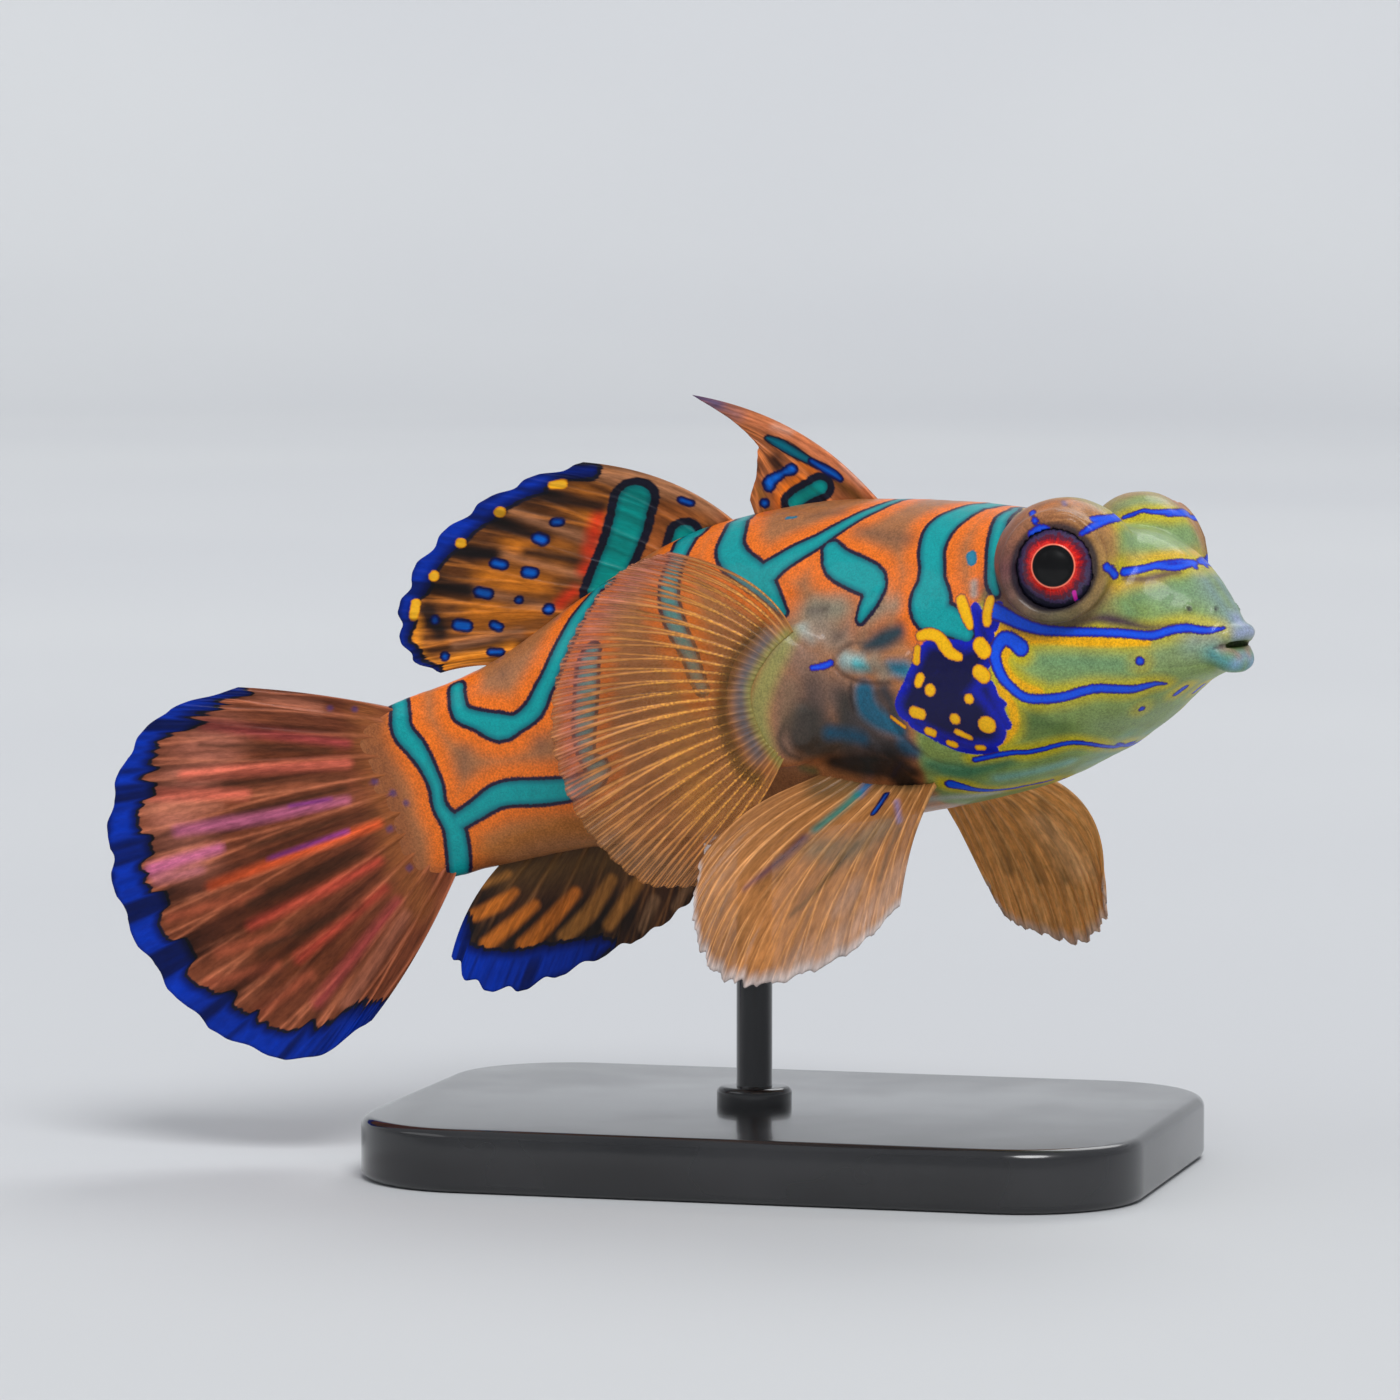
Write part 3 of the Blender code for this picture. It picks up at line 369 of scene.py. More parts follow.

# Soft tints of the skin, each a colour, its strength, how soft its edge is in mm, and its strokes
# Some of them are painted shade, and one a painted highlight; each is marked where it stands
SKIN_TINTS = (
    ((0.50, 0.16, 0.025), 0.75, 0.8, (((485, 850, 12), (540, 828, 14), (610, 826, 14)),)),
    ((0.30, 0.20, 0.12), 0.8, 0.9,
     (((770, 640, 20), (800, 620, 20), (850, 610, 14)), ((880, 600, 14), (860, 640, 14)))),
    ((0.22, 0.26, 0.20), 0.6, 0.6, (((815, 610, 12), (838, 606, 12)), ((872, 612, 8), (895, 605, 8)))),
    ((0.45, 0.55, 0.50), 0.9, 0.5, (((803, 630, 7), (812, 640, 3)),)),
    ((0.26, 0.20, 0.15), 0.8, 0.7, (((818, 628, 13), (838, 640, 14), (848, 628, 8)),)),
    ((0.10, 0.065, 0.055), 0.7, 0.4, (((812, 611, 5), (826, 609, 4)), ((836, 637, 4), (842, 634, 3)))),
    ((0.010, 0.045, 0.065), 0.97, 0.5, (((866, 646, 6), (882, 640, 11), (898, 632, 9)),)),
    ((0.22, 0.125, 0.085), 0.9, 1.0,
     (((800, 660, 20), (825, 690, 20), (855, 695, 14)), ((790, 690, 20), (790, 740, 20)))),
    ((0.28, 0.27, 0.08), 0.9, 0.5, (((790, 636, 8), (768, 676, 12), (758, 714, 12), (768, 752, 9)),)),
    ((0.13, 0.16, 0.18), 0.8, 0.4, (((768, 640, 5), (746, 672, 6), (738, 705, 7), (744, 745, 6)),)),
    ((0.35, 0.50, 0.48), 0.9, 0.35, (((846, 661, 9), (862, 664, 8)),)),
    ((0.01, 0.36, 0.40), 0.8, 0.3, (((858, 664, 5), (870, 667, 4)),)),
    ((0.0, 0.20, 0.32), 0.95, 0.4, (((893, 668, 7), (905, 670, 9)),)),
    # painted shade round the root of the pectoral fin, behind the gill cover
    ((0.085, 0.055, 0.045), 0.92, 0.9,
     (((812, 690, 14), (815, 712, 20), (818, 738, 20)), ((838, 696, 14), (850, 720, 18), (856, 750, 18)))),
    ((0.030, 0.034, 0.042), 0.95, 0.5,
     (((884, 690, 9), (892, 706, 9), (900, 728, 8)), ((870, 745, 12), (905, 752, 10)))),
    # painted shade under the lobe at the root of the pectoral fin
    ((0.035, 0.030, 0.024), 0.9, 0.5,
     (((804, 724, 22), (812, 740, 21), (840, 738, 18)), ((846, 700, 8), (846, 730, 12)))),
    ((0.016, 0.020, 0.018), 0.8, 0.3, (((786, 720, 3), (780, 738, 3), (786, 752, 3), (800, 759, 3)),)),
    ((0.045, 0.040, 0.042), 0.9, 0.6,
     (((858, 722, 12), (878, 738, 12), (896, 745, 8)), ((877, 694, 8), (885, 712, 8)))),
    ((0.30, 0.27, 0.20), 0.8, 0.5, (((876, 663, 8), (884, 671, 8)),)),
    ((0.20, 0.12, 0.06), 0.6, 0.8, (((788, 690, 8), (783, 720, 6)),)),
    ((0.0, 0.10, 0.18), 0.97, 0.35, (((864, 692, 12), (867, 706, 13), (880, 720, 11), (899, 731, 8)),)),
    ((0.0, 0.06, 0.12), 0.9, 0.4, (((830, 733, 7), (862, 738, 8)), ((905, 745, 10), (915, 752, 8)))),
    # painted shadow below the gill cover, nearly black
    ((0.004, 0.007, 0.009), 0.97, 0.6,
     (((834, 762, 12), (862, 765, 17), (890, 768, 19), (908, 784, 17)), ((890, 756, 12), (912, 772, 12)))),
    ((0.010, 0.008, 0.010), 0.9, 0.2, (((851, 684, 1.5), (851, 698, 2), (854, 710, 1.5)),)),
    ((0.16, 0.14, 0.045), 0.85, 0.3, (((802, 768, 4), (814, 771, 5)),)),
    ((0.10, 0.05, 0.035), 0.8, 0.2,
     (((860, 642, 1.2), (848, 645, 1.5), (839, 652, 1.8), (834, 662, 1.6), (838, 671, 1.4),
       (849, 678, 1.4), (868, 683, 1.2), (888, 683, 1)),)),
    ((0.05, 0.20, 0.10), 0.9, 0.5, (((930, 765, 8), (955, 772, 12), (985, 768, 8), (1010, 762, 5)),)),
    ((0.20, 0.45, 0.38), 0.8, 0.5, (((1000, 778, 7), (1030, 773, 7), (1070, 762, 7)),)),
    ((0.45, 0.48, 0.40), 0.9, 0.5, (((926, 800, 6), (960, 797, 6), (998, 793, 4)),)),
    ((0.05, 0.12, 0.03), 0.8, 1.0, (((1035, 722, 12), (1060, 725, 8)),)),
    ((0.26, 0.34, 0.10), 0.6, 1.0, (((1060, 710, 6), (1120, 706, 8), (1170, 702, 8)),)),
    ((0.15, 0.30, 0.15), 0.8, 0.9,
     (((1045, 662, 10), (1075, 662, 13), (1115, 664, 12), (1130, 664, 8)),)),
    ((0.24, 0.32, 0.16), 0.7, 1.2,
     (((1160, 656, 14), (1185, 656, 14)), ((1100, 725, 10), (1180, 712, 10)))),
    ((0.15, 0.34, 0.24), 0.7, 0.9, (((1095, 762, 8), (1130, 755, 6), (1160, 735, 6)),)),
    ((0.80, 0.42, 0.03), 0.75, 0.6,
     (((1130, 557, 5), (1160, 556, 5), (1195, 552, 4)), ((1112, 588, 6), (1128, 586, 5), (1160, 580, 3)))),
    ((0.22, 0.35, 0.17), 0.8, 0.9, (((1130, 540, 9), (1160, 537, 9), (1190, 540, 9)),)),
    ((0.12, 0.25, 0.12), 0.8, 0.9,
     (((1135, 598, 7), (1160, 594, 9), (1185, 590, 10)), ((1125, 605, 5), (1130, 612, 6)))),
    ((0.20, 0.33, 0.20), 0.6, 1.0, (((1170, 600, 10), (1200, 595, 12)),)),
    ((0.55, 0.24, 0.07), 0.8, 0.7,
     (((1075, 505, 9), (1095, 512, 8), (1108, 530, 9), (1112, 552, 7)), ((1045, 500, 7), (1075, 497, 7)))),
    ((0.46, 0.24, 0.12), 0.8, 0.6, (((1115, 497, 8), (1142, 490, 6), (1165, 492, 5)),)),
    ((0.30, 0.36, 0.20), 0.6, 0.7, (((1120, 505, 5), (1150, 502, 5), (1180, 500, 5)),)),
    ((0.26, 0.20, 0.07), 0.8, 0.7, (((1105, 600, 7), (1112, 618, 5)),)),
    ((0.20, 0.30, 0.36), 0.8, 1.1,
     (((1205, 580, 8), (1222, 605, 10), (1235, 625, 10)), ((1195, 640, 8), (1215, 640, 8)))),
    ((0.36, 0.40, 0.70), 0.8, 0.6, (((1238, 618, 5), (1248, 630, 6), (1254, 632, 5)),)),
    ((0.02, 0.26, 0.36), 0.8, 0.7, (((1212, 655, 6), (1228, 664, 7), (1240, 668, 5)),)),
    # a painted highlight, blue-lilac, on the front edge of the lower lip
    ((0.25, 0.36, 0.62), 0.7, 0.5, (((1246, 655, 5), (1252, 662, 5)),)),
    ((0.40, 0.24, 0.20), 0.8, 0.35, (((1222, 648, 3), (1232, 650, 3), (1238, 655, 3)),)),
    ((0.05, 0.02, 0.05), 0.95, 0.3,
     (((1068, 626, 2), (1085, 621, 4), (1100, 618, 5), (1120, 621, 5), (1135, 625, 4), (1150, 628, 3),
       (1168, 626, 1.5), (1185, 625, 1)),)),
    # painted shade in the nostrils and in the crease at the corner of the mouth
    ((0.05, 0.03, 0.05), 0.9, 0.12,
     (((1189, 609, 2.5),), ((1216, 609, 2),), ((1214, 648, 0.8), (1226, 646, 1), (1238, 643, 1)))),
    ((0.31, 0.095, 0.028), 0.95, 0.8,
     (((366, 715, 16), (384, 780, 18), (402, 850, 18), (420, 905, 12)),)),
    ((0.10, 0.045, 0.15), 0.85, 0.12, TAIL_DOTS),
    ((0.07, 0.015, 0.05), 0.9, 0.25,
     (((1125, 578, 3), (1145, 579, 3.5), (1165, 574, 3.5), (1179, 572, 2.5)),)),
)

# The lid's colours round the eye, from the snout over the top to the back and below, and how far from
# the eye's axis and from how far behind its middle they reach
LID_COLOURS = ((0.34, 0.19, 0.06), (0.44, 0.17, 0.065), (0.15, 0.045, 0.055), (0.12, 0.09, 0.045))
LID_REACH, LID_BACK = (3.4, 4.9, 5.6, 4.0), (0.2, -0.6, -1.6, -0.2)
LID_COVER, LID_BLUR = 0.96, (0.9, 0.7)
LID_MOTTLE, LID_MOTTLE_SCALE, LID_SEED = 0.35, 1.5, 9.0
# Painted shadow in the socket between the lid and the eyeball: how dark it is, and over what range it fades
# in, in mm
SOCKET_SHADOW, SOCKET_SHADOW_EDGE = 0.9, (-2.5, -2.2)

# Fine wrinkles over and in front of the eye
LID_WRINKLES = (
    ((1034, 527, 0.8), (1046, 519, 0.8), (1062, 517, 0.8), (1074, 519, 0.8), (1083, 527, 0.8)),
    ((1038, 520, 0.6), (1052, 512, 0.8), (1068, 511, 0.8), (1084, 518, 0.6)),
    ((1046, 525, 0.5), (1058, 523, 0.6), (1070, 524, 0.6), (1078, 529, 0.5)),
    ((1101, 537, 0.7), (1105, 545, 0.9), (1108, 556, 0.9), (1108, 566, 0.6)),
)

LID_TINTS_AND_CREASE_SHADE = (
    # painted shade in the grooves of the lid's wrinkles
    ((0.15, 0.05, 0.025), 0.6, 0.12, LID_WRINKLES),
    ((0.10, 0.12, 0.30), 0.8, 0.15, (((1064, 502, 2.2), (1065, 505, 2)),)),
    ((0.50, 0.15, 0.03), 0.6, 0.25, (((1070, 502, 4), (1078, 504, 3)), ((1046, 506, 5), (1054, 503, 4)))),
)

# Relief of the skin: how far it rises or, below zero, sinks in mm, how soft its edge is, and its strokes
RELIEF = (
    (0.30, 0.35, (((848, 661, 6), (865, 663, 7), (885, 660, 8), (903, 659, 8)),)),
    (-0.16, 0.2,
     (((836, 668, 2), (845, 678, 2), (862, 684, 2), (885, 685, 2), (908, 682, 2)),
      ((838, 653, 2), (850, 645, 2), (868, 634, 2)))),
    (-0.10, 0.25,
     (((914, 640, 2), (911, 680, 2), (886, 706, 2), (900, 735, 2), (930, 760, 2), (960, 768, 2)),)),
    (0.15, 0.4, (((801, 629, 8), (818, 640, 6)), ((878, 600, 10), (858, 625, 8)))),
    (0.18, 0.4, (((800, 722, 14), (803, 735, 14)),)),
    (-0.07, 0.12,
     (((1154, 668, 1), (1180, 667, 1), (1205, 664, 1)), ((1170, 655, 1), (1195, 653, 1), (1212, 653, 1)),
      ((1172, 644, 1), (1195, 644, 1), (1212, 648, 1)))),
    (-0.16, 0.10, (((1214, 648, 1), (1225, 646, 1.2), (1238, 643, 1.4)),)), (-0.12, 0.10, LID_WRINKLES),
    (-0.05, 0.2,
     (((1112, 583, 1), (1118, 600, 1), (1114, 622, 1)), ((1108, 505, 1), (1113, 520, 1), (1116, 545, 1)))),
    (0.14, 0.14, (((1189, 609, 4),), ((1216, 609, 3.5),))),
    (-0.30, 0.10, (((1189, 609, 1.5),), ((1216, 609, 1.5),))),
)
UNEVENNESS = ((0.05, 0.45), (0.018, 1.6))
UNEVENNESS_SEED = 20.0

# Marks of the body between the bands
SPOTS = (((971, 555, 5.5), (972, 561, 5.5)), ((788, 518, 3), (796, 517, 2)))
GREY_SPOTS = (((0.36, 0.34, 0.30), 0.85, 0.2, (((974, 583, 4), (974, 594, 4)),)),)
BROWN_OVALS = (
    ((0.22, 0.10, 0.05), 0.8, 0.7,
     (((464, 755, 7), (464, 767, 7)), ((541, 744, 8),), ((503, 674, 7),),
      ((858, 530, 6), (905, 540, 10)), ((815, 515, 6), (840, 512, 5)))),
)

# Second dorsal fin: blue margin, gold dots inside it, dark blotches and blue spots, and a bar near the
# front
DORSAL_MARGIN = (
    ((592, 471, 5), (560, 472, 6), (538, 481, 10), (515, 492, 10), (497, 502, 9), (468, 519, 14),
     (435, 550, 13), (415, 583, 12), (404, 612, 8), (403, 645, 6), (411, 662, 5), (434, 674, 2)),
)
DORSAL_GOLD = (
    ((553, 485, 4), (562, 484, 5)), ((500, 512, 5.5),), ((461, 543, 5.5),), ((434, 576, 5.5),),
    ((416, 603, 5), (414, 616, 5)),
)
DORSAL_BLUE = (
    ((538, 538, 4.5), (543, 540, 4.5)), ((495, 563, 4), (503, 565, 4)),
    ((527, 572, 4.5), (533, 573, 4.5)), ((479, 592, 4.5), (488, 594, 4.5)),
    ((458, 625, 5), (467, 626, 5)), ((494, 625, 3.5), (499, 627, 3.5)), ((555, 522, 3), (560, 522, 3)),
    ((519, 600, 3),), ((549, 609, 4.5),), ((435, 620, 3.5),), ((445, 656, 3.5),),
    ((491, 652, 3), (501, 652, 3)), ((682, 500, 2.5), (691, 503, 2.5)),
)
DORSAL_BAR = (
    ((635, 498, 13), (625, 537, 13), (608, 576, 12), (598, 592, 9)), ((685, 534, 9), (680, 546, 8)),
)
DORSAL_TINTS = (
    ((0.72, 0.21, 0.012), 0.85, 0.8,
     (((516, 547, 14), (560, 560, 12)), ((489, 576, 12), (540, 590, 12)),
      ((477, 614, 13), (535, 614, 12)), ((580, 500, 9), (600, 515, 9)))),
    # pale salmon streaks along the rays: painted highlights on the ray crests
    ((0.62, 0.27, 0.13), 0.75, 0.35,
     (((506, 510, 3), (598, 544, 4)), ((472, 590, 3), (550, 607, 3)), ((500, 553, 3), (580, 575, 3)),
      ((455, 645, 3), (520, 632, 3)))),
    ((0.60, 0.26, 0.12), 0.9, 0.5, (((594, 472, 5), (640, 480, 8), (690, 493, 9), (724, 510, 8)),)),
    ((0.50, 0.14, 0.03), 0.85, 0.5, (((655, 510, 7), (700, 520, 7)), ((655, 530, 7), (650, 560, 8)))),
    ((0.80, 0.04, 0.01), 0.9, 0.35,
     (((599, 516, 6), (592, 545, 7), (586, 570, 7)), ((575, 590, 5), (560, 603, 5)))),
    ((0.010, 0.007, 0.007), 1.0, 0.35,
     (((520, 495, 9), (555, 497, 9), (600, 506, 7)), ((478, 520, 10), (508, 527, 9), (545, 538, 6)),
      ((448, 549, 11), (492, 553, 9)), ((430, 580, 10), (468, 590, 8)), ((428, 612, 10), (440, 632, 9)),
      ((528, 552, 5), (575, 560, 6)))),
    ((0.10, 0.04, 0.015), 0.7, 0.5,
     (((540, 550, 4), (585, 558, 6)), ((560, 585, 5), (590, 582, 4)), ((510, 605, 6), (545, 598, 5)),
      ((500, 638, 5), (540, 622, 5)))),
    ((1.0, 0.33, 0.02), 0.95, 0.35,
     (((417, 622, 5), (416, 646, 5), (425, 662, 6), (438, 668, 6), (460, 659, 5), (485, 655, 5),
       (512, 647, 5)),)),
)

# First dorsal fin
FIRST_BLUE = (
    ((812, 461, 2.2), (824, 468, 3), (835, 474.5, 3.2), (841, 479, 1.8)),
    ((792, 469.5, 5), (783, 473, 2.6)), ((782, 474, 3), (771, 481, 5), (770, 487, 4)), ((765, 503, 3.4),),
)
FIRST_TEAL = (((821, 487, 7), (808, 493.5, 6), (796, 502, 6.5), (799, 507, 4)),)
FIRST_SLATE = (((768, 438, 1.5), (781, 444, 4), (797, 453.5, 3.8), (809, 460, 3), (818, 465, 2)),)
FIRST_TINTS = (
    ((0.78, 0.24, 0.10), 0.9, 0.4,
     (((740, 415, 5), (775, 428, 7), (820, 452, 7), (860, 478, 6), (885, 495, 5)),)),
    ((0.80, 0.42, 0.30), 0.7, 0.25, (((775, 427, 3), (790, 432, 3)), ((845, 465, 2), (870, 484, 2.5)))),
    ((0.28, 0.14, 0.16), 0.9, 0.5, (((715, 404, 4), (738, 415, 4)),)),
    ((0.03, 0.07, 0.22), 0.9, 0.5, (((692, 394, 4), (718, 404, 3)),)),
    ((0.12, 0.045, 0.006), 0.9, 0.3, (((836, 482, 3), (852, 492, 5), (862, 500, 4)),)),
    ((0.012, 0.006, 0.006), 0.95, 0.35, (((775, 459, 6), (779, 465, 6)), ((754, 468, 2), (754, 462, 2)))),
    ((0.92, 0.20, 0.008), 0.85, 0.35,
     (((803, 478, 4), (790, 485, 6), (783, 498, 7), (786, 510, 5)), ((800, 463, 2), (822, 476, 3)))),
    ((0.30, 0.12, 0.02), 0.8, 0.3, (((768, 510, 5), (760, 490, 3)),)),
)

# Anal fin: a blue margin, and orange fingers between dark bars
ANAL_MARGIN = (
    ((455, 918, 3), (457, 940, 9), (466, 966, 22), (492, 976, 26), (525, 970, 20), (555, 962, 18),
     (585, 953, 14), (608, 944, 6)),
)
ANAL_TINTS = (
    ((0.010, 0.008, 0.008), 0.9, 1.0,
     (((470, 890, 14), (480, 940, 20), (560, 930, 24), (620, 910, 22)),)),
    ((0.14, 0.07, 0.02), 0.8, 1.2, (((500, 870, 14), (560, 865, 16), (640, 855, 16)),)),
    ((0.62, 0.17, 0.02), 0.97, 0.2,
     (((475, 915, 6), (500, 903, 7), (515, 892, 4)), ((487, 944, 7), (507, 928, 7), (535, 905, 5)),
      ((525, 945, 8), (545, 926, 8), (575, 893, 6)))),
    ((0.38, 0.15, 0.03), 0.97, 0.2,
     (((482, 885, 3), (508, 874, 4)), ((565, 936, 7), (590, 912, 8), (612, 880, 6)),
      ((609, 925, 6), (628, 898, 7), (640, 880, 6)))),
    ((0.30, 0.15, 0.07), 0.95, 0.2, (((643, 928, 5), (655, 900, 6)), ((676, 908, 5), (688, 888, 5)))),
)

# Tail fin: its blue margin and purple dots, brown web and red to pink streaks
CAUDAL_MARGIN = (
    ((236, 687, 3), (205, 697, 9), (160, 715, 15), (138, 745, 18), (123, 785, 18), (121, 825, 19),
     (122, 860, 19), (133, 905, 20), (148, 945, 22), (170, 985, 22), (200, 1012, 22), (235, 1034, 22),
     (275, 1048, 20), (320, 1046, 16), (350, 1028, 12), (372, 1006, 5)),
)
CAUDAL_STREAKS = (
    ((0.60, 0.20, 0.13), 0.7, 1.4, (((215, 740, 26), (175, 800, 26), (190, 860, 24)),)),
    ((0.12, 0.028, 0.008), 0.8, 1.4,
     (((300, 880, 36), (270, 940, 34), (340, 950, 34)), ((260, 755, 8), (350, 752, 8)))),
    ((0.31, 0.095, 0.028), 0.95, 0.9,
     (((366, 715, 16), (384, 780, 20), (402, 850, 20), (420, 905, 14)),)),
    ((0.10, 0.045, 0.15), 0.85, 0.12, TAIL_DOTS),
    ((0.52, 0.17, 0.095), 0.85, 0.35,
     (((251, 695, 5), (318, 708, 6)), ((149, 810, 5), (219, 805, 4)), ((347, 1004, 6), (406, 915, 4)))),
    ((0.44, 0.06, 0.06), 0.85, 0.35,
     (((203, 724, 5), (270, 733, 5), (347, 743, 4)), ((318, 1002, 6), (398, 901, 4)))),
    ((0.88, 0.18, 0.11), 0.9, 0.3,
     (((184, 775, 5), (270, 768, 5.5), (347, 762, 5)), ((152, 794, 6), (245, 794, 5)))),
    ((0.84, 0.20, 0.38), 0.9, 0.3,
     (((178, 831, 5), (260, 817, 5.5), (347, 799, 3)), ((152, 869, 6), (219, 848, 4)))),
    ((0.66, 0.20, 0.24), 0.85, 0.3, (((157, 880, 5), (200, 869, 4)),)),
    ((0.90, 0.12, 0.03), 0.92, 0.28, (((211, 885, 4.5), (290, 856, 5), (379, 823, 4)),)),
    ((0.35, 0.05, 0.35), 0.85, 0.15, (((270, 858, 2), (347, 831, 2.5)), ((290, 806, 2), (330, 799, 2)))),
    ((0.40, 0.085, 0.038), 0.85, 0.35,
     (((170, 917, 4), (261, 893, 4)), ((208, 984, 5), (277, 966, 5)), ((219, 952, 5), (288, 933, 4)),
      ((262, 1010, 5), (310, 975, 5)))),
    ((0.58, 0.07, 0.04), 0.9, 0.35,
     (((251, 925, 4.5), (320, 892, 5), (379, 861, 4)), ((299, 957, 5), (385, 888, 4)))),
    ((0.07, 0.025, 0.01), 0.8, 0.3,
     (((224, 785, 2), (345, 776, 3)), ((237, 812, 2.5), (345, 787, 3)), ((250, 846, 3), (374, 810, 4)),
      ((251, 903, 5), (358, 853, 6)), ((260, 950, 4), (360, 905, 4)), ((200, 745, 2), (330, 750, 3)))),
)

# Paired fins
PELVIC_BLUE = (((887, 798, 2.5), (874, 815, 2.5)),)
PELVIC_TINTS = (
    ((0.10, 0.07, 0.03), 0.8, 0.8, (((820, 790, 16), (870, 786, 16), (915, 790, 10)),)),
    ((0.24, 0.17, 0.09), 0.7, 0.9, (((880, 830, 18), (850, 850, 20), (815, 850, 14)),)),
    ((0.60, 0.24, 0.07), 0.7, 0.9,
     (((740, 890, 18), (780, 930, 24), (760, 960, 20)), ((800, 870, 10), (770, 900, 10)))),
    ((0.56, 0.33, 0.22), 0.7, 0.9,
     (((905, 870, 14), (880, 905, 14), (840, 940, 14), (790, 968, 12)), ((855, 890, 10), (840, 910, 10)))),
    ((0.0, 0.16, 0.42), 0.8, 0.3, (((872, 786, 4), (860, 798, 5)),)),
    ((0.0, 0.24, 0.20), 0.85, 0.35, (((857, 798, 5), (840, 812, 6), (816, 830, 5)),)),
    ((0.09, 0.04, 0.09), 0.85, 0.35, (((804, 839, 5), (780, 862, 5), (745, 889, 3)),)),
    ((0.30, 0.28, 0.60), 0.8, 0.25, (((897, 803, 2), (900, 823, 2)),)),
    ((0.05, 0.04, 0.015), 0.7, 0.3,
     (((857, 845, 3), (819, 889, 4), (792, 916, 2)), ((900, 830, 2), (880, 880, 2)))),
)
# The left pelvic fin: a bright orange patch of painted light, standing in for light shining through the fin
# in the body's shade, and dark streaks along its rays
LEFT_PELVIC_GLOW_AND_STREAKS = (
    ((1.0, 0.55, 0.25), 0.6, 0.8, (((1040, 820, 10), (1080, 870, 12)),)),
    ((0.06, 0.05, 0.02), 0.6, 0.35,
     (((985, 805, 3), (1010, 870, 4)), ((1010, 800, 3), (1040, 880, 4)),
      ((1040, 800, 3), (1065, 880, 3)))),
)
PECTORAL_TINTS = (
    ((0.66, 0.26, 0.05), 0.55, 1.2, (((700, 590, 20), (680, 700, 24), (700, 800, 20)),)),
    ((0.55, 0.18, 0.15), 0.8, 1.0, (((668, 556, 14), (604, 605, 16), (570, 690, 14), (574, 790, 11)),)),
    ((0.30, 0.15, 0.07), 0.6, 0.9, (((590, 830, 16), (640, 860, 16), (700, 880, 14)),)),
    ((0.12, 0.13, 0.15), 0.9, 0.6, (((768, 640, 8), (748, 672, 10), (743, 714, 10), (758, 752, 9)),)),
    ((0.26, 0.25, 0.07), 0.9, 0.35,
     (((787, 634, 6), (770, 672, 6), (761, 706, 6), (770, 745, 6), (785, 765, 6)),)),
    ((0.11, 0.055, 0.013), 0.92, 0.4,
     (((762, 622, 7), (730, 668, 9), (722, 716, 9), (738, 763, 9), (757, 780, 8)),)),
)

# Crisp marks of skin and fins: each the name of its distance, its colour at the edge and inside, how
# deep inside that is, and the colour and the width of the dark line round it
TEAL_LAYER = ("teal", DEEP_TEAL, TEAL, 0.35, (0.012, 0.006, 0.03), 0.22)
CHEEK_LAYER = ("cheek", ROYAL, (0.0, 0.0, 0.05), 0.9, NAVY, 0.0)
BLUE_LAYER = ("blue", ROYAL, AZURE, 0.16, MAROON, 0.05)
GOLD_LAYER = ("gold", (0.80, 0.28, 0.0), (0.95, 0.50, 0.0), 0.14, NAVY, 0.03)
SPOT_LAYER = ("spots", (0.01, 0.16, 0.26), (0.02, 0.22, 0.36), 0.2, TAN, 0.0)
SKIN_LAYERS = (SPOT_LAYER, TEAL_LAYER, CHEEK_LAYER, BLUE_LAYER, GOLD_LAYER)
BLUE_MARGIN = ("margin", (0.0, 0.008, 0.12), (0.0, 0.030, 0.40), 0.6, INK, 0.2)
BLUE_SPOTS = ("blue", (0.0, 0.02, 0.20), (0.0, 0.12, 0.58), 0.2, (0.004, 0.006, 0.05), 0.1)
GOLD_SPOTS = ("gold", (0.85, 0.30, 0.0), (1.0, 0.50, 0.02), 0.12, INK, 0.0)
TEAL_BAR = ("teal", (0.0, 0.16, 0.17), (0.0, 0.27, 0.24), 0.3, INK, 0.42)
SLATE_BAR = ("slate", (0.0, 0.07, 0.12), (0.0, 0.14, 0.20), 0.2, INK, 0.1)

